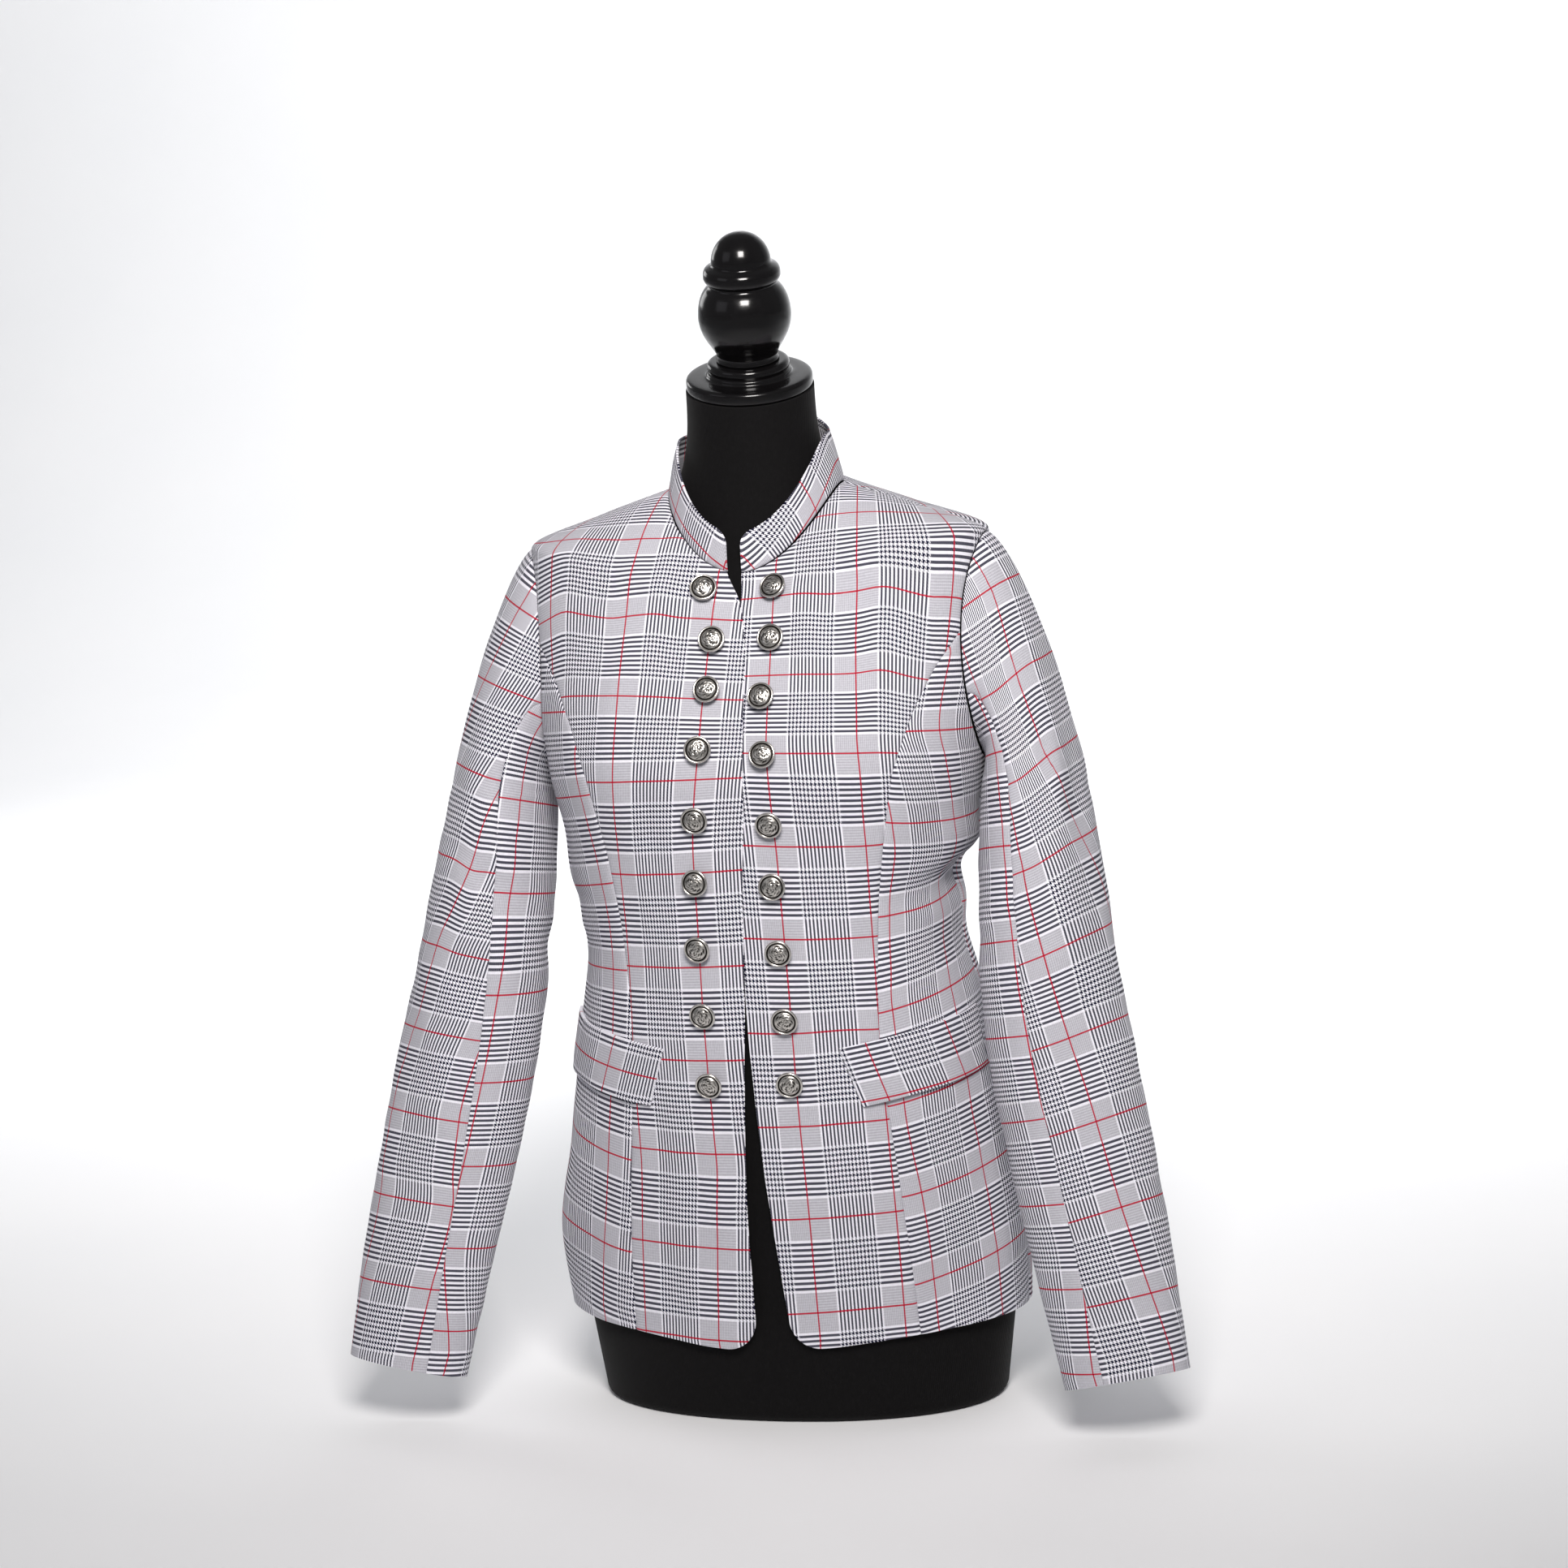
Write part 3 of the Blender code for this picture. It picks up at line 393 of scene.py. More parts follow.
def flatten(points, normal, up):
    # Blender's own unwrap lays a panel flat with the least stretch. It is then scaled until its
    # edges have their real lengths, and turned until the middle column runs along the warp.
    rows, columns = points.shape[:2]
    index = np.arange(rows * columns).reshape(rows, columns)
    piece = addMesh("flattening", points.reshape(-1, 3), gridFaces(index))
    bpy.context.view_layer.objects.active = piece
    piece.select_set(True)
    bpy.ops.object.mode_set(mode="EDIT")
    bpy.ops.mesh.select_all(action="SELECT")
    bpy.ops.uv.unwrap(method="ANGLE_BASED", margin=0.0)
    bpy.ops.object.mode_set(mode="OBJECT")
    corners = np.empty(len(piece.data.loops), np.int32)
    piece.data.loops.foreach_get("vertex_index", corners)
    found = np.empty(len(corners) * 2)
    piece.data.uv_layers.active.data.foreach_get("uv", found)
    flat = np.zeros((rows * columns, 2))
    flat[corners] = found.reshape(-1, 2)
    flat = flat.reshape(rows, columns, 2)
    mesh = piece.data
    bpy.data.objects.remove(piece)
    bpy.data.meshes.remove(mesh)
    flat = flat * edgeTotal(points) / edgeTotal(flat)
    r, c = rows // 2, columns // 2
    flat = flat - flat[r, c]
    acrossStep = points[r, c + 1] - points[r, c]
    upStep = (points[r + 1, c] - points[r, c]) * up
    facing = np.sign(np.dot(np.cross(acrossStep, upStep), normal[r, c]))
    flatAcross = flat[r, c + 1] - flat[r, c]
    flatUp = (flat[r + 1, c] - flat[r, c]) * up
    if facing * (flatAcross[0] * flatUp[1] - flatAcross[1] * flatUp[0]) < 0:
        flat[..., 0] = -flat[..., 0]
    run = (flat[rows * 3 // 4, c] - flat[rows // 4, c]) * up
    run = run / np.hypot(*run)
    return flat[..., 0] * run[1] - flat[..., 1] * run[0], flat[..., 0] * run[0] + flat[..., 1] * run[1]


def layCheck(name, points, normal, up):
    # The check follows the photo. First v is freed of the weft's slope and counts from red weft to red
    # weft. Then u is measured from one red warp, and is stretched as far as the next one.
    u, v = flatten(points, normal, up)
    facts = grain[name]
    for middleU, middleV, across, tall, lift in facts.get("ripples", ()):
        v = v - lift * np.exp(-(((u - middleU) / across) ** 2) - ((v - middleV) / tall) ** 2)
    stations, counts, slopes = np.transpose(facts["weft"])
    across = slopeReach * np.tanh((u - facts["middle"]) / slopeReach)
    level = v
    for _ in range(3):
        level = v - smooth(level, stations, slopes) * across
    counted = smooth(level, stations, counts * weftRepeat) + level - np.clip(level, stations[0], stations[-1])
    stations, places, widths = np.transpose(facts["warp"])
    run = u - smooth(v, stations, places)
    width = smooth(v, stations, widths)
    laid = np.minimum(run, 0) + np.clip(run, 0, width) * warpRepeat / width + np.maximum(run - width, 0)
    return laid, counted


def shell(name, outer, normal, u, v, thick, side):
    # A closed cloth wall: the outer grid, an inner one a wall's thickness in, and a rounded rim.
    rows, columns = outer.shape[:2]
    count = rows * columns
    inner = outer - normal * thick
    index = np.arange(count).reshape(rows, columns)
    rim = np.concatenate([index[0, :], index[1:, -1], index[-1, -2::-1], index[-2:0:-1, 0]])
    flatOuter = outer.reshape(-1, 3)
    flatInner = inner.reshape(-1, 3)
    middle = (flatOuter[rim] + flatInner[rim]) / 2
    ahead = np.roll(middle, -1, axis=0) - np.roll(middle, 1, axis=0)
    outwards = unit(np.cross(ahead, flatOuter[rim] - flatInner[rim])) * side
    middle = middle + outwards * (thick * cloth["rimBulge"])
    points = np.concatenate([flatOuter, flatInner, middle])
    uvs = np.stack([u.reshape(-1), v.reshape(-1)], -1)
    uvs = np.concatenate([uvs, uvs, uvs[rim]])
    nextRim = np.roll(rim, -1)
    ring = 2 * count + np.arange(len(rim))
    nextRing = np.roll(ring, -1)
    outerRim = [nextRim, rim, ring, nextRing]
    innerRim = [nextRing, ring, rim + count, nextRim + count]
    if side < 0:
        outerRim = [rim, nextRim, nextRing, ring]
        innerRim = [ring, nextRing, nextRim + count, rim + count]
    walls = [gridFaces(index, side < 0), gridFaces(index + count, side > 0)]
    faces = np.concatenate(walls + [np.stack(outerRim, -1), np.stack(innerRim, -1)])
    return addMesh(name, points, faces, uvs)


def seamDip(points, normal, ends, top=False, bottom=False):
    # Cloth turns in at a seam: a dip of exp(-distance / width) from each sewn edge.
    run = along(points, 1)
    toStart, toEnd = run, run[:, -1:] - run
    dip = np.zeros(run.shape)
    for sewn, distance in zip(ends, (toStart, toEnd)):
        if sewn:
            dip = np.maximum(dip, np.exp(-distance / cloth["seamWidth"]))
    up = along(points, 0)
    if top:
        dip = np.maximum(dip, np.exp(-(up[-1:] - up) / cloth["seamWidth"]))
    if bottom:
        dip = np.maximum(dip, np.exp(-up / cloth["seamWidth"]))
    return points - normal * (dip * cloth["seamDip"])[..., None]


def shares(count, edge=0.012):
    # Columns across a panel, closer at both ends.
    middle = np.linspace(0.0, 1.0, count)[1:-1]
    ends = np.array([0.0, edge * 0.35, edge])
    middle = middle[(middle > edge * 1.5) & (middle < 1 - edge * 1.5)]
    return np.unique(np.concatenate([ends, middle, 1 - ends]))


armSteps = np.arange(180.0, -0.1, -3.0)
lowRows = np.concatenate([[cloth["hem"], 62.8, 64.0], np.arange(66.0, 509.0, 3.6)])
yokeRows = np.linspace(cloth["shoulder"], cloth["neck"], 34)[1:-1]
topRows = np.concatenate([yokeRows, [671.6, 671.85, cloth["neck"]]])


def rowGrid(rows, low, high, across):
    girth = np.repeat(rows[:, None], len(across), axis=1)
    return girth, low[:, None] * (1 - across) + high[:, None] * across


# Where the check lies on each flattened panel, in millimetres. The rows of "warp" are v, the u of a red
# warp there and the distance to the next one. The rows of "weft" are v, the red weft's number and its
# slope, read at the u of "middle". The rows of "ripples" are u, v, half width, half height and how far
# the cloth is pushed up there.
warpRepeat = 68.6
weftRepeat = 72.0
slopeReach = 90.0
grain = {
    "front_left": {
        "middle": 20.0,
        "ripples": (
            (52, 175, 15, 60, 4.5), (12, 190, 14, 50, -1.5),
            (86, 190, 12, 50, -2.0), (30, -150, 20, 40, 1.5),
        ),
        "weft": (
            (-365.6, -5, 0.13), (-286.8, -4, 0.11), (-211.5, -3, 0.10), (-137.8, -2, 0.06),
            (-63.6, -1, 0.035), (10.3, 0, 0.035), (82.6, 1, 0.035), (142.1, 2, 0.01), (204.1, 3, -0.02),
        ),
        "warp": (
            (-390, 14.0, 68.6), (-286, 4.5, 68.6), (-202, -4.5, 68.6),
            (-112, -12.5, 69), (-62, -17.5, 70), (4, -24, 70),
            (53, -30, 70), (100, -34, 68.6), (160, -34, 66), (220, -32, 65),
        ),
    },
    "front_right": {
        "middle": -20.0,
        "ripples": (
            (-85, 205, 14, 50, 4.0), (-45, 200, 14, 50, -2.5),
            (-8, 195, 12, 50, 1.5), (-118, 215, 12, 40, -2.0),
        ),
        "weft": (
            (-390.2, -6, -0.065), (-312.1, -5, -0.07), (-234.3, -4, -0.05),
            (-159.5, -3, -0.02), (-85.3, -2, 0.0), (-10.0, -1, 0.01),
            (64.4, 0, -0.02), (128.8, 1, -0.07), (190.8, 2, -0.03), (256.5, 3, 0.1),
        ),
        "warp": (
            (-390, -9.7, 68.6), (-290, 3.1, 68.6), (-240, 9.0, 68.6), (-140, 10.5, 68.6),
            (0, 17.4, 68.6), (90, 30.6, 68.6), (160, 35.2, 68.6), (240, 37.3, 68.6),
        ),
    },
    "side_front_left": {
        "middle": 0.0,
        "weft": (
            (-223.3, -2, 0.22), (-152.7, -1, 0.17), (-80, 0, 0.15),
            (-7.0, 1, 0.14), (64.5, 2, 0.08), (136.8, 3, 0.02), (206.8, 4, 0.0),
        ),
        "warp": (
            (-281, -38, 57), (-224, -41, 57), (-161, -46, 57), (-92, -53, 59), (-10, -53, 58),
            (24, -50, 58), (106, -48, 60), (134, -54, 60), (183, -71, 58), (211, -79, 58), (265, -68, 60),
        ),
    },
    "side_front_right": {
        "middle": 0.0,
        "weft": (
            (-285.2, -3, -0.18), (-202.1, -2, -0.18), (-125.9, -1, -0.16), (-53, 0, -0.06),
            (15.3, 1, 0.06), (82.5, 2, 0.12), (155.0, 3, 0.11), (222.5, 4, 0.08),
        ),
        "warp": (
            (-260, 16.4, 68.6), (-202, 28, 68.6), (-154, 35, 68.6), (-60, 42.6, 68.6),
            (60, 45.4, 68.6), (150, 46, 68.6), (206, 46, 68.6), (260, 56, 68.6),
        ),
    },
    "back_left": {
        "middle": 0.0,
        "weft": ((-360, -5, 0.0), (0, 0, 0.0), (360, 5, 0.0)),
        "warp": ((-200, 20, 68.6), (200, 20, 68.6)),
    },
    "back_right": {
        "middle": 0.0,
        "weft": ((-360, -5, 0.0), (0, 0, 0.0), (360, 5, 0.0)),
        "warp": ((-200, -20, 68.6), (200, -20, 68.6)),
    },
    "sleeve_upper_left": {
        "middle": -60.0,
        "ripples": ((-77, 160, 12, 110, -2.4), (-45, 160, 14, 110, 2.4), (20, 40, 14, 60, 1.5)),
        "weft": (
            (-264.0, -5, 0.10), (-195.9, -4, 0.15), (-126.7, -3, 0.17), (-57.1, -2, 0.21),
            (13.5, -1, 0.29), (84.9, 0, 0.34), (154.5, 1, 0.35), (223.4, 2, 0.27), (288.9, 3, 0.15),
        ),
        "warp": (
            (-310, -22.6, 68.6), (-200, -45.4, 68.6), (-100, -58.5, 70),
            (-50, -67, 76), (0, -75.3, 84), (60, -83.5, 75), (100, -86, 58),
            (130, -87.5, 46), (170, -88.5, 34), (220, -91, 33), (290, -87, 36),
        ),
    },
    "sleeve_upper_right": {
        "middle": 60.0,
        "ripples": ((78, 90, 10, 60, -2.5), (55, 60, 12, 60, 1.5)),
        "weft": (
            (-260.3, -5, 0.005), (-191.3, -4, -0.005), (-122.0, -3, -0.015), (-53.7, -2, -0.03),
            (14.8, -1, -0.09), (86.3, 0, -0.13), (159.7, 1, -0.09), (229.1, 2, -0.05), (290.3, 3, -0.1),
        ),
        "warp": (
            (-321, 10.1, 68.6), (-260, 19.4, 68.6), (-191, 29.2, 68.6), (-158, 25.5, 68.6),
            (-120, 25.5, 68.6), (-74, 31.8, 68.6), (-36, 42.1, 68.6), (17, 52.7, 68.6), (49, 64.4, 68.6),
            (86, 74.8, 68.6), (128, 82.2, 62), (200, 106, 60), (256, 120.6, 60), (300, 126.3, 60),
        ),
    },
    "sleeve_under_left": {
        "middle": 45.0,
        "weft": (
            (-314.3, -5, -0.2), (-247.6, -4, -0.2), (-181.8, -3, -0.15),
            (-115.8, -2, -0.09), (-51.6, -1, -0.07), (20, 0, 0.0), (200, 2.5, 0.0),
        ),
        "warp": ((-314, 45, 68.6), (-200, 62, 68.6), (200, 62, 68.6)),
    },
    "sleeve_under_right": {
        "middle": -45.0,
        "weft": (
            (-285.8, -5, 0.19), (-218.7, -4, 0.2), (-152.4, -3, 0.22), (-85.0, -2, 0.22),
            (-15.3, -1, 0.18), (65, 0, 0.08), (138.9, 1, 0.0), (211.3, 2, 0.0),
        ),
        "warp": ((-300, -24.3, 68.6), (-200, -50, 68.6), (200, -50, 68.6)),
    },
}


def panel(name, points, normal, side, ends, top=False):
    u, v = layCheck(name, points, normal, 1)
    points = seamDip(points, normal, ends, top=top)
    return shell(name + "_cloth", points, normal, u, v, cloth["wall"], side)


def makeFront(side, word):
    rows = np.concatenate([lowRows, armholeGirth(armSteps), topRows])
    top = armholeGirth(cloth["princessStep"])
    seam = princessAngle(rows) - seamStep(rows)
    high = np.where(rows < top - 0.01, seam, outerLimit(rows, cloth["armholeFront"]))
    low = side * angleAt(rows, edgeX(rows, side))
    girth, angle = rowGrid(rows, low, high, shares(46))
    points, normal = frontPoint(side, girth, angle)
    return panel("front_" + word, points, normal, side, (False, True), top=True)


def makeSideFront(side, word):
    steps = armSteps[armSteps >= cloth["princessStep"]]
    rows = np.concatenate([lowRows, armholeGirth(steps), [armholeGirth(cloth["princessStep"]) - 0.05]])
    rows = np.sort(np.unique(np.round(rows[rows <= armholeGirth(cloth["princessStep"]) - 0.04], 3)))
    low = princessAngle(rows) + seamStep(rows)
    high = outerLimit(rows, cloth["armholeFront"])
    low = np.minimum(low, high - 0.1)
    girth, angle = rowGrid(rows, low, high, shares(30))
    points = body(girth, side * angle)
    normal = bodyNormal(girth, side * angle)
    return panel("side_front_" + word, points, normal, side, (True, True))


def makeBack(side, word):
    rows = np.concatenate([lowRows, armholeGirth(armSteps), topRows])
    low = 180 - outerLimit(rows, cloth["armholeBack"])
    high = 180 - seamStep(rows)
    girth, angle = rowGrid(rows, low, high, shares(60))
    points = body(girth, side * angle)
    normal = bodyNormal(girth, side * angle)
    return panel("back_" + word, points, normal, side, (True, True), top=True)


# Pocket flaps


flap = {
    "front": 32.4,
    "back": 80.0,
    "slant": 6.3,
    "girthFront": 306.0,
    "girthBack": 322.0,
    "height": 47.0,
    "lift": 0.5,
    "wall": 2.2,
    "edgeWall": 0.2,
    "spring": 2.2,
    "wave": 0.35,
    "size": (130.0, 45.0),
    "puff": (0.25, 4.0),
    "stitches": (0.3, 4.5, 0.8),
    "slip": {"left": (-20.0, 46.0), "right": (49.0, 26.0)},
}


def makeFlap(side, word):
    # A grid moved out from the body, with a soft edge and a sunk row of stitches inside it.
    across, down = np.meshgrid(shares(44, 0.014), shares(20, 0.03))
    start = flap["front"] + flap["slant"] * down
    angle = start + (flap["back"] - start) * across
    girth = flap["girthFront"] + (flap["girthBack"] - flap["girthFront"]) * across - flap["height"] * down
    point = body(girth, side * angle)
    normal = bodyNormal(girth, side * angle)
    spring = flap["spring"] * np.sin(np.pi * across) * down
    wave = flap["wave"] * np.sin(across * 9 + side) * down
    wide, tall = flap["size"]
    edge = np.minimum(np.minimum(across, 1 - across) * wide, np.minimum(down * 3, 1 - down) * tall)
    puffHeight, puffEdge = flap["puff"]
    deep, inside, reach = flap["stitches"]
    puff = puffHeight * ease(edge, 0.0, puffEdge) - deep * np.exp(-(((edge - inside) / reach) ** 2))
    outer = point + normal * (flap["lift"] + flap["wall"] + spring + wave + puff)[..., None]
    u, v = clothCoordinates(outer, 0, np.zeros(len(outer)))
    slipU, slipV = flap["slip"][word]
    thick = flap["wall"] + flap["edgeWall"]
    return shell("flap_" + word + "_cloth", outer, normal, side * u + slipU, slipV - v, thick, -side)


# Stand collar. The rows of "grain" are the run along the neck seam from the centre back, the red weft's
# height there, how far the warps are moved along and how much they lean.


collar = {
    "frontHeight": 29.5,
    "backHeight": 42.0,
    "lean": 3.0,
    "sideLean": 8.0,
    "corner": 9.0,
    "seamGap": 0.35,
    "neckY": 5.0,
    "perAngle": 1.25,
    "swell": 1.2,
    "ripple": 0.2,
    "rippleSeed": 5,
    "ripplePerAngle": 1.2,
    "rippleTall": 40.0,
    "thick": 1.9,
    "names": ("along", "redWeft", "slip", "lean"),
    "grain": (
        (-226, -18.0, 12.7, 0.38),
        (-200, -8.0, 12.7, 0.25),
        (-175, 0.0, 12.7, 0.15),
        (-152, 3.5, 12.7, 0.06),
        (-80, 17.0, 11.9, 0.0),
        (0, 14.0, -1.5, 0.0),
        (80, 7.0, -14.9, 0.0),
        (190, 9.0, -15.7, 0.0),
        (212, 5.0, -15.7, 0.0),
        (228, 0.0, -15.7, 0.0),
    ),
}


def collarPoint(signed, up):
    # The band rises from the neck seam and leans in, most at the sides.
    base = body(np.full(signed.shape, cloth["neck"]), signed)
    outward = base - np.array([0.0, collar["neckY"], 0.0])
    outward[..., 2] = 0.0
    lean = collar["lean"] + collar["sideLean"] * np.sin(np.radians(signed)) ** 2
    rise = np.sin(np.radians(np.abs(signed) / 2))
    height = collar["frontHeight"] + (collar["backHeight"] - collar["frontHeight"]) * rise
    swell = np.sin(np.pi * up * 0.6) * collar["swell"]
    point = base - unit(outward) * (lean * up - swell)[..., None]
    point[..., 2] += collar["seamGap"] + height * up
    return point


def makeCollar():
    # One grid round the neck, from front end to front end, with its top corners cut to arcs.
    start = float(angleAt(cloth["neck"], edgeX(cloth["neck"], 1)))
    end = 360.0 + float(angleAt(cloth["neck"], edgeX(cloth["neck"], -1)))
    angles = start + (end - start) * shares(220, 0.004)
    up, angle = np.meshgrid(shares(22, 0.03), angles, indexing="ij")
    signed = np.where(angle > 180, angle - 360, angle)
    fromEnd = np.minimum(angle - start, end - angle) * collar["perAngle"]
    corner = np.clip(collar["corner"] - fromEnd, 0.0, None)
    drop = collar["corner"] - np.sqrt(collar["corner"] ** 2 - corner**2)
    up = up * (1 - drop / collar["frontHeight"])
    points = collarPoint(signed, up)
    du = collarPoint(signed + 1.0, up) - collarPoint(signed - 1.0, up)
    dv = collarPoint(signed, up + 0.02) - collarPoint(signed, up - 0.02)
    normal = unit(np.cross(du, dv))
    around = angle * collar["ripplePerAngle"]
    waves = ripple(around, up * collar["rippleTall"], collar["rippleSeed"], collar["ripple"])
    points = points + normal * (waves * np.sin(np.pi * np.clip(up, 0, 1)))[..., None]
    u, v = clothCoordinates(points, 0, np.full(len(points), points.shape[1] / 2.0))
    points = seamDip(points, normal, (False, False), bottom=True)
    lay = dict(zip(collar["names"], np.transpose(collar["grain"])))
    laidU = u + smooth(u, lay["along"], lay["slip"]) + smooth(u, lay["along"], lay["lean"]) * v
    laidV = v - smooth(u, lay["along"], lay["redWeft"])
    return shell("collar_cloth", points, normal, laidU, laidV, collar["thick"], 1)


# Sleeves


sleeveNames = ("xRight", "xLeft", "y", "z", "width", "depth")
sleeveRings = (
    (219, 214.5, -14, 492, 41, 58),
    (228, 219, -28, 425, 49, 54),
    (239, 225, -46, 350, 54, 49),
    (253, 237, -64, 275, 57, 44),
    (268, 253, -84, 200, 56, 38),
    (283, 269, -104, 125, 53, 34),
    (297, 284, -121, 50, 49, 30),
)
sleeve = {
    "capShare": 0.26,
    "rise": 112.0,
    "underarm": 16.0,
    "fall": 95.0,
    "lift": 0.8,
    "outward": 0.55,
    "length": 640.0,
    "perStep": 0.9,
    "seam": 105.0,
    "driftRight": 16.0,
    "driftLeft": 2.0,
    "seamGap": 0.05,
    "foldsMiddle": 60.0,
    "foldsStart": (0.02, 0.12),
    "foldsEnd": (0.93, 1.0),
    "ripple": 0.34,
    "rippleSeed": {"right": 21, "left": 22},
}
sleeveFolds = {
    "left": (
        (55, 0.30, 82, 130, 11, 2.6),
        (30, 0.34, 88, 110, 13, -2.2),
        (120, 0.42, 20, 34, 14, 2.5),
        (200, 0.45, 0, 45, 15, -3.0),
        (240, 0.50, 10, 45, 16, 3.0),
        (70, 0.62, 70, 80, 16, -2.0),
    ),
    "right": (
        (108, 0.33, 60, 36, 12, 2.6),
        (112, 0.40, 40, 36, 12, -2.4),
        (110, 0.47, 30, 36, 13, 2.4),
        (210, 0.45, 0, 45, 15, -3.0),
        (250, 0.50, -10, 45, 16, 3.0),
        (40, 0.60, 80, 90, 18, -2.0),
    ),
}
sleeveCreases = {
    "left": (
        (70, 0.20, 84, 60, 7, 1.2),
        (20, 0.22, 92, 60, 9, -1.0),
        (90, 0.36, 64, 40, 7, -1.2),
        (80, 0.50, 30, 30, 8, 1.2),
        (60, 0.56, 20, 34, 8, -1.2),
        (95, 0.72, 40, 40, 9, 1.2),
        (30, 0.80, 70, 60, 10, 1.0),
        (-60, 0.30, 84, 70, 11, 1.6),
        (-80, 0.52, 12, 36, 9, 1.8),
        (-70, 0.58, -10, 36, 9, -1.6),
    ),
    "right": (
        (78, 0.16, 96, 60, 8, 1.2),
        (50, 0.24, 84, 70, 9, -1.0),
        (96, 0.52, 28, 30, 8, -1.3),
        (70, 0.60, 60, 40, 9, 1.0),
        (92, 0.70, 36, 40, 9, 1.1),
        (20, 0.78, 78, 60, 10, -1.0),
        (-60, 0.28, 98, 70, 11, 1.6),
        (-84, 0.50, 8, 36, 9, 1.8),
        (-70, 0.57, -12, 36, 9, -1.6),
    ),
}
sleeveTable = {name: table([row[i] for row in sleeveRings]) for i, name in enumerate(sleeveNames)}


def wrap(step):
    return (step + 180.0) % 360.0 - 180.0


def armValue(name, share):
    return smooth(share, np.linspace(0.0, 1.0, len(sleeveRings)), sleeveTable[name])


def armholePoint(side, step):
    step = wrap(step)
    girth = armholeGirth(step)
    front = armholeAngle(girth, cloth["armholeFront"])
    back = 180 - armholeAngle(girth, cloth["armholeBack"])
    return girth, side * np.where(step >= 0, front, back)


def armRing(side, share, step):
    # Ellipse square to the arm: step 0 is outside, 90 in front and 180 inside.
    names = ("xRight" if side < 0 else "xLeft", "y", "z")
    centre = np.stack([armValue(name, share) for name in names], -1)
    ahead = np.clip(share + 0.02, 0, 1)
    behind = np.clip(share - 0.02, 0, 1)
    path = unit(np.stack([armValue(name, ahead) - armValue(name, behind) for name in names], -1))
    outward = unit(np.array([1.0, 0.0, 0.0]) - path * path[..., :1])
    forward = unit(np.cross(path, outward))
    forward = forward * np.where(forward[..., 1:2] > 0, -1.0, 1.0)
    width = (armValue("width", share) * np.cos(np.radians(step)))[..., None]
    depth = (armValue("depth", share) * np.sin(np.radians(step)))[..., None]
    return centre + outward * width + forward * depth, path


def plainSleeve(side, down, step):
    # The cap is a cubic from the armhole to the arm's first ring, and the rest is rings.
    edge = step[:1]
    girth, angle = armholePoint(side, edge)
    mirror = np.array([side, 1.0, 1.0])
    point = body(girth, angle)
    normal = bodyNormal(girth, angle)
    seam = unit(body(*armholePoint(side, edge + 2.0)) - body(*armholePoint(side, edge - 2.0)))
    across = unit(np.cross(normal, seam)) * side
    point = (point + across * cloth["sleeveGap"]) * mirror
    normal = normal * mirror
    across = across * mirror
    drift = sleeve["driftRight" if side < 0 else "driftLeft"] * down * np.sin(np.radians(step)) ** 2
    share = np.clip((down - sleeve["capShare"]) / (1 - sleeve["capShare"]), 0.0, 1.0)
    ring, path = armRing(side, share, step + drift)
    outer = (1 + np.cos(np.radians(step))) / 2
    startPull = (sleeve["underarm"] + (sleeve["rise"] - sleeve["underarm"]) * outer)[..., None]
    endPull = (sleeve["underarm"] + (sleeve["fall"] - sleeve["underarm"]) * outer)[..., None]
    outwards = np.array([sleeve["outward"], 0.0, 0.0])
    leave = unit(across * outer[..., None] + normal * sleeve["lift"] + outwards)
    t = np.clip(down / sleeve["capShare"], 0.0, 1.0)[..., None]
    cubic = point * (1 + 2 * t) * (1 - t) ** 2 + leave * startPull * t * (1 - t) ** 2
    cubic = cubic + ring * (3 - 2 * t) * t**2 + path * endPull * (t - 1) * t**2
    return np.where((down < sleeve["capShare"])[..., None], cubic, ring) * mirror


def sleeveNormal(surface, side, down, step):
    inside = np.clip(down, 0.012, 0.988)
    du = surface(side, inside + 0.01, step) - surface(side, inside - 0.01, step)
    dv = surface(side, inside, step + 1.5) - surface(side, inside, step - 1.5)
    return unit(np.cross(dv, du)) * side


def sleevePoint(side, down, step):
    # The plain sleeve moved out by its folds, which fade at the armhole and at the cuff.
    word = "right" if side < 0 else "left"
    middle = sleeve["foldsMiddle"]
    around = (wrap(step - middle) + middle) * sleeve["perStep"]
    run = down * sleeve["length"]
    folds = sleeveFolds[word] + sleeveCreases[word]
    height = foldHeight(around, run, folds, sleeve["perStep"], sleeve["length"])
    height = height + ripple(around, run, sleeve["rippleSeed"][word], sleeve["ripple"])
    height = height * ease(down, *sleeve["foldsStart"]) * (1 - ease(down, *sleeve["foldsEnd"]))
    normal = sleeveNormal(plainSleeve, side, down, step)
    return plainSleeve(side, down, step) + normal * height[..., None]


def makeSleeve(side, part, word, first, last):
    name = "sleeve_" + part + "_" + word
    columns = first + (last - first) * shares(int((last - first) / 3.0), 0.008)
    columns[0] += sleeve["seamGap"]
    columns[-1] -= sleeve["seamGap"]
    capRows = [0.0, 0.0012, 0.003, 0.006, 0.01, 0.0145, 0.02]
    rows = np.concatenate([capRows, np.arange(0.026, 0.994, 0.0062), [0.9955, 0.998, 1.0]])
    down, step = np.meshgrid(rows, columns, indexing="ij")
    points = sleevePoint(side, down, step)
    normal = sleeveNormal(sleevePoint, side, down, step)
    u, v = layCheck(name, points, normal, -1)
    points = seamDip(points, normal, (True, True), bottom=True)
    return shell(name + "_cloth", points, normal, u, v, cloth["wall"], -side)


# Turned pieces


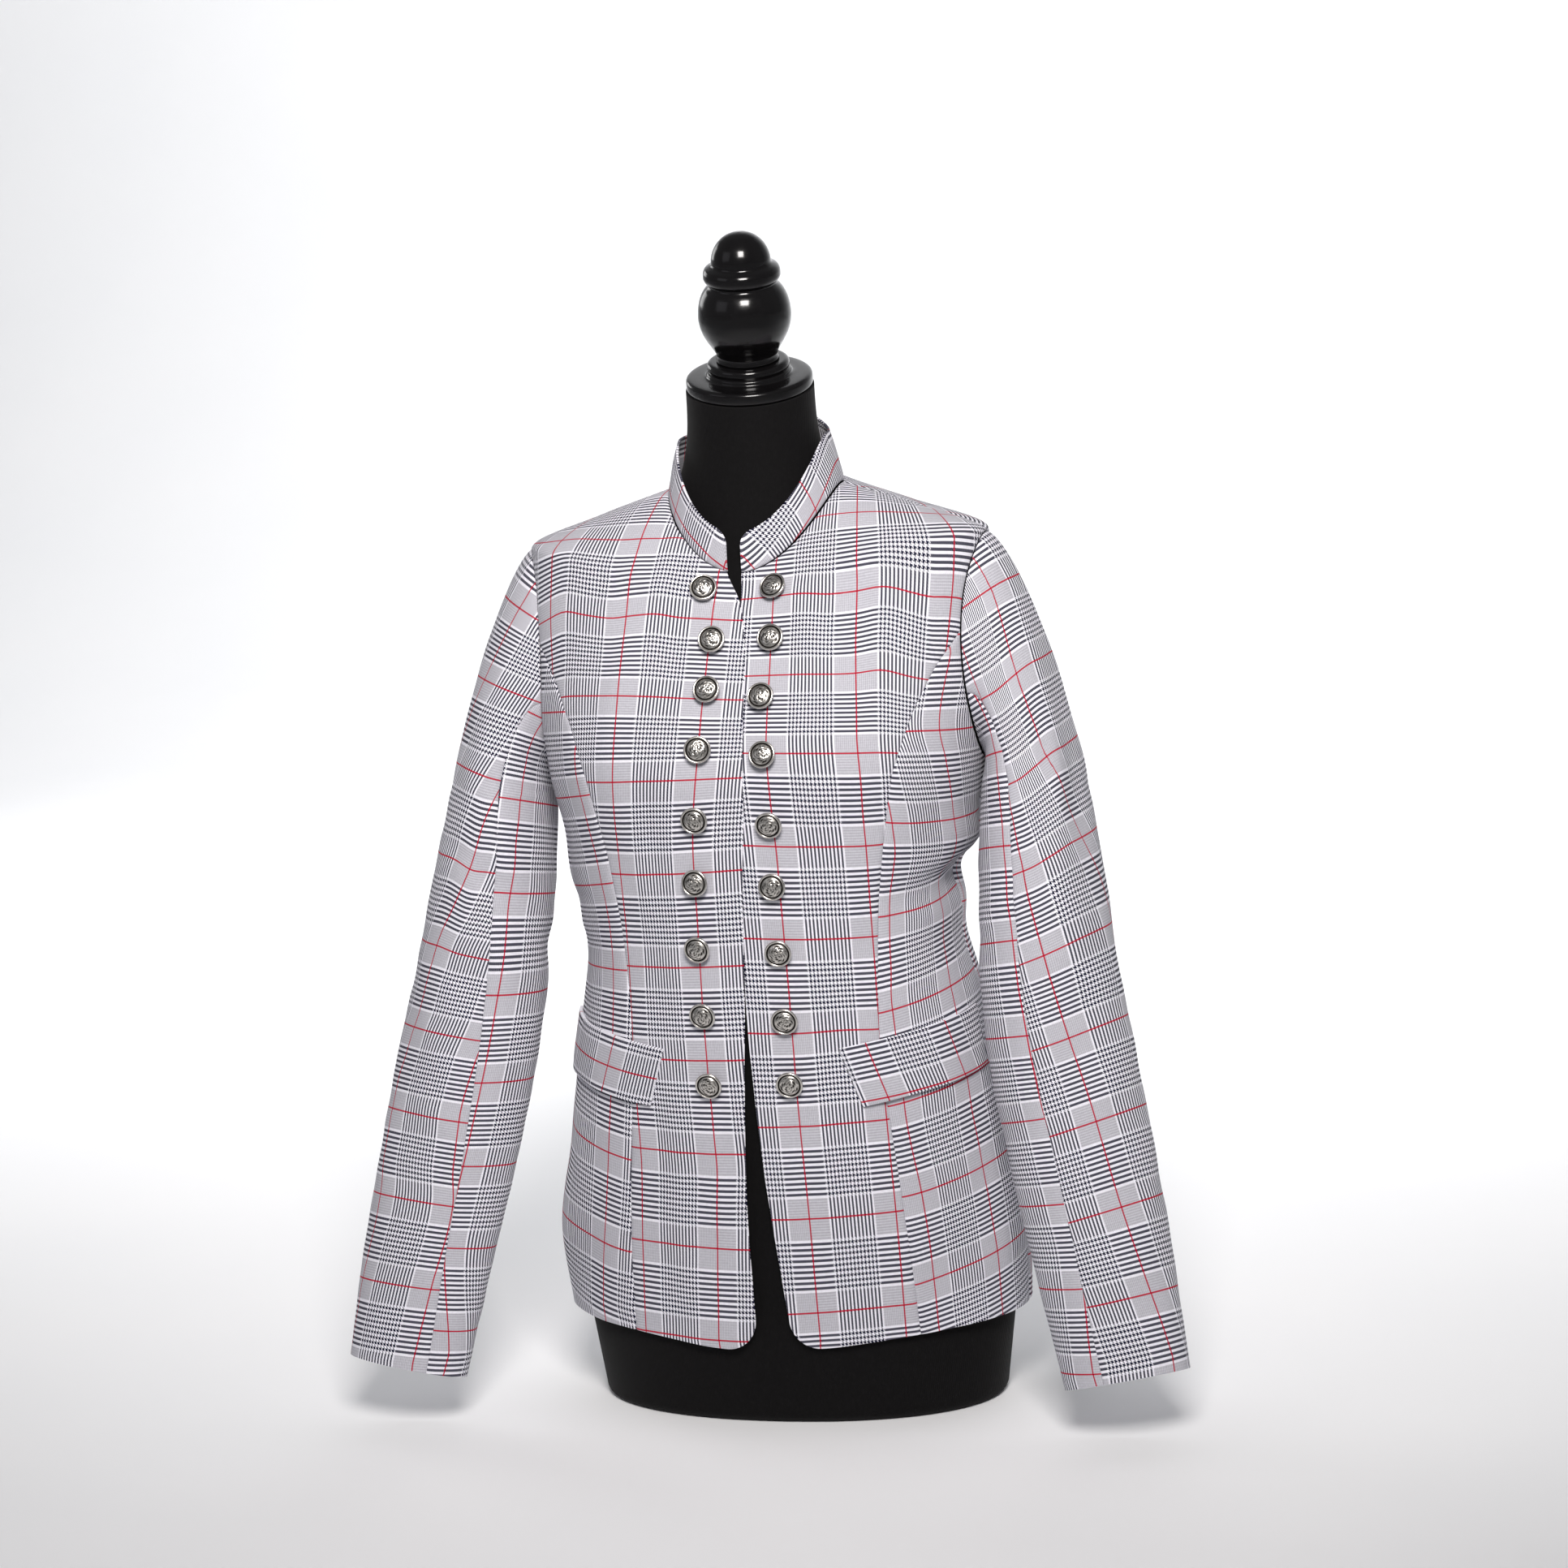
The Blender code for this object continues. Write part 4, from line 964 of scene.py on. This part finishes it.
def revolve(profile, turns, relief=None):
    # Rings of a half outline about Z. relief moves a point out along the outline's own normal.
    profile = table(profile)
    tangent = np.gradient(profile, axis=0)
    outward = unit(np.stack([tangent[:, 1], -tangent[:, 0]], -1))
    turn = np.arange(turns) * 2 * np.pi / turns
    r = np.repeat(profile[:, :1], turns, axis=1)
    z = np.repeat(profile[:, 1:], turns, axis=1)
    if relief is not None:
        height = relief(r, z, turn[None, :])
        r = r + outward[:, :1] * height
        z = z + outward[:, 1:] * height
    points = np.stack([r * np.cos(turn), r * np.sin(turn), z], -1)
    return points.reshape(-1, 3), ringFaces(len(profile), turns)


def roundOff(profile, count):
    # A finer half outline: cubic pieces through the given points.
    profile = table(profile)
    run = np.concatenate([[0], np.cumsum(np.linalg.norm(np.diff(profile, axis=0), axis=1))])
    at = np.linspace(0, run[-1], count)
    return np.stack([smooth(at, run, profile[:, 0]), smooth(at, run, profile[:, 1])], -1)


def stand(points, location, axis, twist=0.0):
    axis = unit(np.asarray(axis, float))
    first = unit(np.cross([0.0, 0.0, 1.0] if abs(axis[2]) < 0.9 else [0.0, -1.0, 0.0], axis))
    second = np.cross(axis, first)
    c, s = math.cos(twist), math.sin(twist)
    turn = np.stack([first * c + second * s, second * c - first * s, axis], 1)
    return points @ turn.T + location


# Buttons. "rows" are the pairs from the top down: the girth, x and tip of each one. "hollowShade" is how
# tarnished level metal is, how much more a hollow is per millimetre, and the most it may be.
button = {
    "seat": 0.7,
    "groove": 8.45,
    "dome": 7.6,
    "backTop": 4.2,
    "grooveWidth": (0.25, 1.0),
    "hollowShade": (0.5, 2.6, 0.85),
    "backShade": 0.8,
    "turnStep": 0.9,
    "turnStart": {"right": 0.5, "left": 2.1},
    "names": ("rightGirth", "rightX", "rightTip", "leftGirth", "leftX", "leftTip"),
    "rows": (
        (653, -26, -4, 651, 32, 0),
        (620, -16, 0, 618, 31, 0),
        (584, -18, 2, 578, 25, 4),
        (541, -25, -4, 536, 27, 4),
        (490, -29, -4, 485, 29, -10),
        (440, -32, 4, 436, 28, 0),
        (388, -34, -8, 384, 29, -8),
        (336, -33, -10, 331, 31, -10),
        (281, -32, -10, 281, 32, -10),
    ),
    "profile": (
        (0.01, 0.0), (2.6, 0.0), (2.9, 0.4), (2.7, 1.6), (2.9, 3.0), (4.2, 3.45), (7.4, 3.6),
        (9.6, 4.0), (10.5, 4.8), (10.62, 5.6), (10.35, 6.3), (9.8, 6.65), (9.25, 6.55),
        (8.9, 6.2), (8.65, 5.95), (8.3, 5.9), (8.0, 6.15), (7.75, 6.5), (7.3, 6.8),
        (6.4, 7.2), (5.2, 7.65), (3.8, 8.05), (2.2, 8.35), (1.0, 8.45), (0.01, 8.48),
    ),
}


def crest(r, z, turn):
    # A plain leafy swirl on the dome: waves that wind round the middle and fade at the rim.
    window = ease(r, 0.2, 1.2) * (1 - ease(r, 6.6, 7.6)) * (z > 6.4)
    swirl = np.cos(5 * turn + r * 0.9) * np.cos(2.1 * r - 1.2) + 0.5 * np.cos(3 * turn - 1.4 * r + 1.0)
    veins = 0.35 * np.cos(14 * turn + 3.0 * r)
    return window * 0.2 * (swirl + veins * ease(r, 2.0, 4.0))


def makeButtons():
    # Each button is square to the cloth under it, tipped by its own angle. Its grooves are tarnished.
    made = []
    outline = roundOff(button["profile"], 62)
    for number, row in enumerate(button["rows"], 1):
        values = dict(zip(button["names"], row))
        for side, word in ((-1, "right"), (1, "left")):
            girth = float(values[word + "Girth"])
            angle = float(angleAt(girth, values[word + "X"])) * side
            near, _ = frontPoint(side, girth + table((0, -3, 3, 0, 0)), angle + table((0, 0, 0, -1.5, 1.5)))
            normal = unit(np.cross(near[4] - near[3], near[2] - near[1])) * side
            lean = unit(normal + np.array([0.0, 0.0, math.sin(math.radians(values[word + "Tip"]))]))
            points, faces = revolve(outline, 72, crest)
            deep = np.linalg.norm(points[:, :2], axis=1)
            tarnish = 1 - ease(np.abs(deep - button["groove"]), *button["grooveWidth"])
            plain, _ = revolve(outline, 72)
            flatShade, perHeight, most = button["hollowShade"]
            low = np.clip(flatShade - (points - plain)[:, 2] * perHeight, 0.0, 1.0)
            tarnish = np.maximum(tarnish, low * (deep < button["dome"]) * most)
            tarnish = np.maximum(tarnish, (plain[:, 2] < button["backTop"]) * button["backShade"])
            twist = button["turnStep"] * number + button["turnStart"][word]
            points = stand(points, near[0] + normal * button["seat"], lean, twist)
            name = "button_" + word + "_" + str(number)
            piece = addMesh(name + "_metal", points, faces, smoothAngle=60.0)
            layer = piece.data.attributes.new("tarnish", "FLOAT", "POINT")
            layer.data.foreach_set("value", tarnish.astype(np.float32))
            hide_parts(name)
            made.append(piece)
    return made


form = {
    "halfWidth": 166.0,
    "depth": 97.0,
    "round": 8.0,
    "power": 2.15,
    "clearance": 4.5,
    "shoulderClearance": 3.2,
    "spare": 0.8,
    "seat": 0.7,
    "neckRadius": 50.5,
    "neckTop": 811.0,
    "neckY": 5.0,
    "tiltForward": 16.0,
    "tiltSide": 3.3,
    "gap": 0.3,
}
discProfile = (
    (0.01, 0.0), (46.6, 0.0), (48.6, 0.5), (49.6, 1.8), (49.9, 4.0), (49.8, 7.6), (49.2, 9.2),
    (47.6, 10.2), (44.0, 10.5), (35.2, 10.8), (33.8, 11.4), (33.3, 12.6), (33.4, 13.6), (32.6, 14.6),
    (31.7, 15.2), (31.9, 16.0), (32.5, 17.2), (32.3, 19.4), (31.4, 21.4), (29.0, 22.4), (0.01, 22.6),
)
finialProfile = (
    (0.01, 22.9), (24.0, 22.9), (24.9, 23.6), (24.3, 25.4), (24.2, 27.4), (25.2, 30.4), (28.0, 35.4),
    (31.4, 41.0), (34.4, 47.5), (36.0, 53.6), (36.5, 59.0), (36.1, 65.0), (34.9, 71.0), (32.8, 76.6),
    (30.0, 81.0), (27.4, 83.8), (26.8, 85.0), (27.6, 86.2), (29.4, 88.2), (30.3, 91.0), (30.1, 94.4),
    (28.6, 97.6), (25.8, 99.4), (24.0, 100.4), (23.4, 102.0), (23.2, 104.6), (22.2, 109.0),
    (19.6, 114.6), (15.6, 119.4), (10.4, 123.0), (5.0, 124.8), (0.01, 125.4),
)


def neckAxis():
    forward = math.radians(form["tiltForward"])
    sideways = math.radians(form["tiltSide"])
    return unit(np.array([math.sin(sideways), -math.sin(forward), math.cos(forward)]))


def makeForm():
    # Rings inside the blazer at its own girths, a flat base below and the slanted neck above.
    turn = np.arange(0.0, 360.0, 3.0)
    signed = np.where(turn > 180, turn - 360, turn)
    c = np.cos(np.radians(turn))
    s = np.sin(np.radians(turn))
    made = []
    bend = form["round"]
    power = form["power"]
    for share in np.linspace(0.0, 1.0, 6):
        inset = bend * (1 - math.sin(share * math.pi / 2))
        width = form["halfWidth"] - inset
        depth = form["depth"] - inset
        reach = ((np.abs(s) / width) ** power + (np.abs(c) / depth) ** power) ** (-1 / power)
        level = np.full(turn.shape, bend * (1 - math.cos(share * math.pi / 2)))
        made.append(np.stack([reach * s, -reach * c, level], -1))
    low = made[-1]
    shoulders = armholeGirth(np.arange(165.0, -1.0, -6.0))
    neckGirths = np.linspace(cloth["shoulder"], cloth["neck"], 16)[1:]
    girths = np.concatenate([np.arange(110.0, 520.0, 10.0), shoulders, neckGirths])
    upper = []
    for girth in girths:
        level = np.full(turn.shape, float(girth))
        high = ease(level, 540.0, 600.0)
        clearance = form["clearance"] + (form["shoulderClearance"] - form["clearance"]) * high
        ridge = np.exp(-(((np.abs(signed) - 90) / 4.0) ** 2)) * high * (1 - ease(level, 652.0, 662.0))
        clearance = clearance + (form["seat"] - clearance) * ridge + form["spare"]
        normal = surfaceNormal(plainBody, level, signed)
        point = plainBody(level, signed) + normal * formRelief(level, signed)[..., None]
        upper.append(point - normal * (cloth["wall"] + clearance)[..., None])
    for share in np.linspace(0.0, 1.0, 9)[1:-1]:
        made.append(low + (upper[0] - low) * share)
    made += upper
    axis = neckAxis()
    across = unit(np.cross([0.0, 1.0, 0.0], axis))
    back = np.cross(axis, across)
    centre = np.array([0.0, form["neckY"], form["neckTop"]])
    top = centre + (across * s[:, None] - back * c[:, None]) * form["neckRadius"]
    seam = made[-1]
    for share in np.linspace(0.0, 1.0, 26)[1:]:
        inwards = 1 - (1 - share) ** 3
        made.append(seam + (top - seam) * np.array([inwards, inwards, share]))
    made.append(top + (centre - top) * 0.03)
    points = np.stack(made)
    rows, columns = points.shape[:2]
    faces = [tuple(face) for face in ringFaces(rows, columns)]
    faces.append(tuple(reversed(range(columns))))
    faces.append(tuple(range((rows - 1) * columns, rows * columns)))
    piece = addMesh("form_jersey", points.reshape(-1, 3), faces)
    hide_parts("form_torso")
    return piece


def formRelief(girth, angle):
    # The bust and the hollows of the largest folds, so that the form stays inside the cloth.
    folds = foldHeight(angle * cloth["perAngle"], girth, bodyFolds, cloth["perAngle"], 1.0)
    return bustHeight(girth, angle) + np.minimum(folds, 0.0) * (1 - ease(girth, *cloth["foldsEnd"]))


def makeCap():
    axis = neckAxis()
    foot = np.array([0.0, form["neckY"], form["neckTop"]]) + axis * form["gap"]
    made = []
    for name, profile, count in (("neck_disc", discProfile, 110), ("finial", finialProfile, 170)):
        points, faces = revolve(roundOff(profile, count), 96)
        piece = addMesh(name + "_turned", stand(points, foot, axis), faces, smoothAngle=60.0)
        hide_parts(name)
        made.append(piece)
    return made


# Materials


def linear(code):
    # A colour's linear values from its sRGB hex code.
    values = [int(code[i : i + 2], 16) / 255 for i in (0, 2, 4)]
    return [v / 12.92 if v <= 0.04045 else ((v + 0.055) / 1.055) ** 2.4 for v in values] + [1.0]


def newMaterial(name):
    material = bpy.data.materials.new(name)
    material.use_nodes = True
    return material, material.node_tree, material.node_tree.nodes["Principled BSDF"]


def addNode(tree, kind, settings=None, links=None):
    # A node with its settings, and its inputs linked or given a value.
    node = tree.nodes.new(kind)
    for key, value in (settings or {}).items():
        setattr(node, key, value)
    for key, value in (links or {}).items():
        if isinstance(value, bpy.types.NodeSocket):
            tree.links.new(value, node.inputs[key])
        else:
            node.inputs[key].default_value = value
    return node


def calc(tree, operation, a, b=0.0, c=0.0):
    return addNode(tree, "ShaderNodeMath", {"operation": operation}, {0: a, 1: b, 2: c}).outputs[0]


def mixColour(tree, factor, a, b):
    return addNode(tree, "ShaderNodeMix", {"data_type": "RGBA"}, {0: factor, 6: a, 7: b}).outputs[2]


def mixValue(tree, factor, a, b):
    return addNode(tree, "ShaderNodeMix", {"data_type": "FLOAT"}, {0: factor, 2: a, 3: b}).outputs[0]


def remap(tree, value, given, wanted, kind="LINEAR"):
    # Turns one range of values into another.
    links = {0: value, 1: given[0], 2: given[1], 3: wanted[0], 4: wanted[1]}
    return addNode(tree, "ShaderNodeMapRange", {"interpolation_type": kind}, links).outputs[0]


def noise(tree, place, scale, detail, roughness=0.5):
    links = {"Vector": place, "Scale": scale, "Detail": detail, "Roughness": roughness}
    return addNode(tree, "ShaderNodeTexNoise", links=links).outputs[0]


# Glen check: threads in a repeat, the plain threads before the band, the band's threads and the red ones.
# The band is fours of pale and dark threads. "plain" is how dark the plain threads are, and how much
# darker every second pair is.
check = {
    "warp": {"size": warpRepeat, "repeat": 189, "start": 45, "band": 100, "red": 3},
    "weft": {"size": weftRepeat, "repeat": 137, "start": 31, "band": 76, "red": 2.6},
    "white": "E5E4EC",
    "dark": "13132C",
    "redYarn": "A90A2B",
    "darkWidth": 2.0,
    "plain": (0.36, 0.16),
    "overlay": 0.74,
    "redOverlay": 0.86,
}


def threadColour(tree, coordinate, facts):
    # Which thread a point lies on, how dark it is, and whether it is in the band or red.
    run = calc(tree, "DIVIDE", coordinate, facts["size"] / facts["repeat"])
    place = calc(tree, "FLOORED_MODULO", run, float(facts["repeat"]))
    red = calc(tree, "LESS_THAN", place, float(facts["red"]))
    pair = calc(tree, "LESS_THAN", calc(tree, "FLOORED_MODULO", place, 4.0), 2.0)
    inBand = calc(tree, "GREATER_THAN", place, float(facts["start"]))
    beforeEnd = calc(tree, "LESS_THAN", place, float(facts["start"] + facts["band"]))
    band = calc(tree, "MULTIPLY", inBand, beforeEnd)
    step = calc(tree, "FLOORED_MODULO", calc(tree, "SUBTRACT", place, float(facts["start"])), 8.0)
    fromDark = calc(tree, "ABSOLUTE", calc(tree, "SUBTRACT", step, 6.0))
    four = calc(tree, "LESS_THAN", fromDark, check["darkWidth"])
    plain = calc(tree, "MULTIPLY_ADD", pair, check["plain"][1], check["plain"][0])
    return calc(tree, "FLOOR", run), mixValue(tree, band, plain, four), band, red


def makeClothMaterial():
    # Worsted glen check in a two-and-two twill: matt, with a soft sheen at grazing light. The band's
    # and the red threads lie over the plain ones, as thicker yarns do.
    material, tree, shader = newMaterial("glen_check")
    uv = addNode(tree, "ShaderNodeUVMap", {"uv_map": "weave"}).outputs[0]
    split = addNode(tree, "ShaderNodeSeparateXYZ", links={0: uv})
    warpThread, warpDark, warpBand, warpRed = threadColour(tree, split.outputs[0], check["warp"])
    weftThread, weftDark, weftBand, weftRed = threadColour(tree, split.outputs[1], check["weft"])
    diagonal = calc(tree, "FLOORED_MODULO", calc(tree, "ADD", warpThread, weftThread), 4.0)
    twill = calc(tree, "LESS_THAN", diagonal, 1.5)
    warpRank = calc(tree, "MULTIPLY_ADD", warpRed, 2.0, warpBand)
    weftRank = calc(tree, "MULTIPLY_ADD", weftRed, 2.0, weftBand)
    warpHigh = calc(tree, "GREATER_THAN", warpRank, weftRank)
    anyRed = calc(tree, "MAXIMUM", warpRed, weftRed)
    cover = calc(tree, "MULTIPLY_ADD", anyRed, check["redOverlay"] - check["overlay"], check["overlay"])
    apart = calc(tree, "MINIMUM", calc(tree, "ABSOLUTE", calc(tree, "SUBTRACT", warpRank, weftRank)), 1.0)
    differ = calc(tree, "MULTIPLY", apart, cover)
    warpUp = mixValue(tree, differ, twill, warpHigh)
    colours = []
    for dark, red in ((weftDark, weftRed), (warpDark, warpRed)):
        plain = mixColour(tree, dark, linear(check["white"]), linear(check["dark"]))
        colours.append(mixColour(tree, red, plain, linear(check["redYarn"])))
    woven = mixColour(tree, warpUp, colours[0], colours[1])
    tone = remap(tree, noise(tree, uv, 0.45, 3.0, 0.7), (0.3, 0.7), (0.9, 1.06))
    toned = addNode(tree, "ShaderNodeHueSaturation", links={"Color": woven, "Value": tone})
    tree.links.new(toned.outputs[0], shader.inputs["Base Color"])
    shader.inputs["Roughness"].default_value = 0.92
    shader.inputs["Specular IOR Level"].default_value = 0.12
    shader.inputs["Sheen Weight"].default_value = 0.05
    shader.inputs["Sheen Roughness"].default_value = 0.45
    return material


def makeMetalMaterial():
    # Antique silver plating: bright on the rim and the raised leaves, nearly black where it is deep.
    material, tree, shader = newMaterial("antique_silver_plating")
    place = addNode(tree, "ShaderNodeTexCoord").outputs["Object"]
    age = addNode(tree, "ShaderNodeAttribute", {"attribute_name": "tarnish"}).outputs["Fac"]
    cloud = noise(tree, place, 420.0, 4.0, 0.6)
    worn = calc(tree, "ADD", age, calc(tree, "MULTIPLY", calc(tree, "SUBTRACT", cloud, 0.5), 0.5))
    worn = remap(tree, worn, (0.15, 0.9), (0.0, 1.0), "SMOOTHSTEP")
    tree.links.new(mixColour(tree, worn, linear("D6D2CC"), linear("1D1918")), shader.inputs["Base Color"])
    tree.links.new(calc(tree, "MULTIPLY_ADD", worn, 0.3, 0.24), shader.inputs["Roughness"])
    shader.inputs["Metallic"].default_value = 1.0
    return material


def makeJerseyMaterial():
    # Fine black jersey over the form: matt, with the knit's faint ribs and a weak sheen.
    material, tree, shader = newMaterial("black_knit_jersey")
    place = addNode(tree, "ShaderNodeTexCoord").outputs["Object"]
    shade = remap(tree, noise(tree, place, 260.0, 5.0, 0.75), (0.35, 0.75), (0.0, 1.0))
    tree.links.new(mixColour(tree, shade, linear("040304"), linear("0A090A")), shader.inputs["Base Color"])
    settings = {"wave_type": "BANDS", "bands_direction": "X"}
    links = {"Vector": place, "Scale": 330.0, "Distortion": 1.5, "Detail": 2.0, "Detail Scale": 6.0}
    ribs = addNode(tree, "ShaderNodeTexWave", settings, links).outputs[1]
    bump = addNode(tree, "ShaderNodeBump", links={"Strength": 0.25, "Distance": 0.0003, "Height": ribs})
    tree.links.new(bump.outputs[0], shader.inputs["Normal"])
    shader.inputs["Roughness"].default_value = 0.85
    shader.inputs["Sheen Weight"].default_value = 0.03
    shader.inputs["Specular IOR Level"].default_value = 0.15
    return material


def makeLacquerMaterial():
    # Black lacquer on turned wood: a clear gloss coat over black, with faint turning marks and dust.
    material, tree, shader = newMaterial("black_gloss_lacquer")
    place = addNode(tree, "ShaderNodeTexCoord").outputs["Object"]
    dust = noise(tree, place, 90.0, 6.0, 0.7)
    tree.links.new(remap(tree, dust, (0.3, 0.8), (0.1, 0.26)), shader.inputs["Roughness"])
    tree.links.new(mixColour(tree, dust, linear("070607"), linear("0E0D0E")), shader.inputs["Base Color"])
    links = {0: place, 1: (30.0, 30.0, 900.0)}
    rings = addNode(tree, "ShaderNodeVectorMath", {"operation": "MULTIPLY"}, links)
    marks = noise(tree, rings.outputs[0], 1.0, 2.0)
    bump = addNode(tree, "ShaderNodeBump", links={"Strength": 0.06, "Distance": 0.0004, "Height": marks})
    tree.links.new(bump.outputs[0], shader.inputs["Normal"])
    shader.inputs["Specular IOR Level"].default_value = 0.3
    shader.inputs["Coat Weight"].default_value = 0.2
    shader.inputs["Coat Roughness"].default_value = 0.04
    shader.inputs["Coat IOR"].default_value = 1.35
    return material


def makeFloorMaterial():
    # Pale studio paper: matt and even, with the faintest cloudiness.
    material, tree, shader = newMaterial("studio_paper")
    place = addNode(tree, "ShaderNodeTexCoord").outputs["Object"]
    fibre = noise(tree, place, 3.0, 3.0)
    tree.links.new(mixColour(tree, fibre, linear("F1F2F4"), linear("F6F6F7")), shader.inputs["Base Color"])
    shader.inputs["Roughness"].default_value = 0.95
    shader.inputs["Specular IOR Level"].default_value = 0.1
    return material


# Studio


paper = {"halfWidth": 9000.0, "front": -6000.0, "bend": 3200.0, "radius": 1600.0, "top": 7000.0, "drop": 0.05}
worldLight = {"colour": "F4F5F8", "strength": 0.2}
lights = {
    "keyLight": {
        "place": (0.6, -2.05, 1.95),
        "target": (0.0, 0.0, 0.71),
        "size": (0.8, 0.8),
        "power": 13.2,
        "colour": "FFFBF8",
        "spread": 70.0,
    },
    "fillLight": {
        "place": (-2.4, -2.4, 1.9),
        "target": (0.0, 0.0, 0.7),
        "size": (1.8, 1.8),
        "power": 2.0,
        "colour": "F6F6FF",
        "spread": 110.0,
    },
    "rimLight": {
        "place": (-2.6, 1.7, 1.7),
        "target": (0.0, 0.0, 0.5),
        "size": (1.2, 1.2),
        "power": 12.0,
        "colour": "FFFFFF",
    },
    "backdropLight": {
        "place": (0.0, 1.3, 3.2),
        "target": (0.0, 4.8, 1.4),
        "size": (4.0, 1.6),
        "power": 185.0,
        "colour": "FFFFFF",
    },
}
cameraFacts = {
    "turn": 14.7,
    "height": 8.4,
    "roll": 3.4,
    "distance": 3.06,
    "target": (0.0, 0.0, 0.509),
    "pixel": (950.0, 946.0),
    "scale": 1.551,
    "side": 1932.0,
}


def makeCamera():
    data = bpy.data.cameras.new("camera")
    camera = bpy.data.objects.new("camera", data)
    bpy.context.scene.collection.objects.link(camera)
    turn = math.radians(cameraFacts["turn"])
    height = math.radians(cameraFacts["height"])
    roll = math.radians(cameraFacts["roll"])
    back = Vector((math.sin(turn) * math.cos(height), -math.cos(turn) * math.cos(height), math.sin(height)))
    right = Vector((math.cos(turn), math.sin(turn), 0))
    up = back.cross(right)
    rolledRight = right * math.cos(roll) - up * math.sin(roll)
    rolledUp = right * math.sin(roll) + up * math.cos(roll)
    matrix = Matrix((rolledRight, rolledUp, back)).transposed().to_4x4()
    matrix.translation = Vector(cameraFacts["target"]) + back * cameraFacts["distance"]
    camera.matrix_world = matrix
    side = cameraFacts["side"]
    data.sensor_width = 36.0
    data.lens = 36.0 * cameraFacts["scale"] * 1000 * cameraFacts["distance"] / side
    data.shift_x = (side / 2 - cameraFacts["pixel"][0]) / side
    data.shift_y = (cameraFacts["pixel"][1] - side / 2) / side
    data.clip_end = 60.0
    bpy.context.scene.camera = camera


def makeLight(name, place, target, size, power, colour, spread=180.0):
    data = bpy.data.lights.new(name, "AREA")
    data.shape = "RECTANGLE"
    data.size, data.size_y = size
    data.energy = power
    data.color = linear(colour)[:3]
    data.spread = math.radians(spread)
    lamp = bpy.data.objects.new(name, data)
    lamp.location = place
    lamp.rotation_mode = "QUATERNION"
    lamp.rotation_quaternion = (Vector(place) - Vector(target)).to_track_quat("Z", "Y")
    bpy.context.scene.collection.objects.link(lamp)


def makePaper():
    # A floor that turns up into a wall in a quarter circle.
    turn = np.linspace(0.1, np.pi / 2, 12)
    bend, radius = paper["bend"], paper["radius"]
    run = np.concatenate([[paper["front"], 0.0, bend], bend + radius * np.sin(turn), [bend + radius]])
    rise = np.concatenate([[0.0, 0.0, 0.0], radius - radius * np.cos(turn), [paper["top"]]]) - paper["drop"]
    across = np.linspace(-1.0, 1.0, 3) * paper["halfWidth"]
    points = np.stack(np.broadcast_arrays(across[None, :], run[:, None], rise[:, None]), -1)
    floor = addMesh("paper", points.reshape(-1, 3), gridFaces(np.arange(len(run) * 3).reshape(-1, 3)))
    floor.data.materials.append(makeFloorMaterial())


def makeStudio():
    bpy.context.scene.view_settings.view_transform = "Standard"
    world = bpy.data.worlds.new("studio")
    bpy.context.scene.world = world
    world.use_nodes = True
    background = world.node_tree.nodes["Background"]
    background.inputs[0].default_value = linear(worldLight["colour"])
    background.inputs[1].default_value = worldLight["strength"]
    for name, facts in lights.items():
        makeLight(name, **facts)
    makePaper()


# Build


def declare(piece, name):
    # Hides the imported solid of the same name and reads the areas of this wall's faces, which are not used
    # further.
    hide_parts(name)
    mesh = piece.data
    areas = np.empty(len(mesh.polygons))
    mesh.polygons.foreach_get("area", areas)


clothMaterial = makeClothMaterial()
clothPieces = []
seam = sleeve["seam"]
for side, word in ((-1, "right"), (1, "left")):
    clothPieces.append((makeFront(side, word), "front_" + word))
    clothPieces.append((makeSideFront(side, word), "side_front_" + word))
    clothPieces.append((makeBack(side, word), "back_" + word))
    clothPieces.append((makeFlap(side, word), "flap_" + word))
    clothPieces.append((makeSleeve(side, "upper", word, -seam, seam), "sleeve_upper_" + word))
    clothPieces.append((makeSleeve(side, "under", word, seam, 360 - seam), "sleeve_under_" + word))
    print("panels of the", word, "side made")
clothPieces.append((makeCollar(), "collar"))
for piece, name in clothPieces:
    piece.data.materials.append(clothMaterial)
    declare(piece, name)

metalMaterial = makeMetalMaterial()
buttons = makeButtons()
for piece in buttons:
    piece.data.materials.append(metalMaterial)
print("buttons made:", len(buttons))

formPiece = makeForm()
formPiece.data.materials.append(makeJerseyMaterial())
capPieces = makeCap()
lacquer = makeLacquerMaterial()
for piece in capPieces:
    piece.data.materials.append(lacquer)
print("dress form made")

for piece in [entry[0] for entry in clothPieces] + buttons + [formPiece] + capPieces:
    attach(piece, "root")

makeStudio()
makeCamera()
print("studio made")
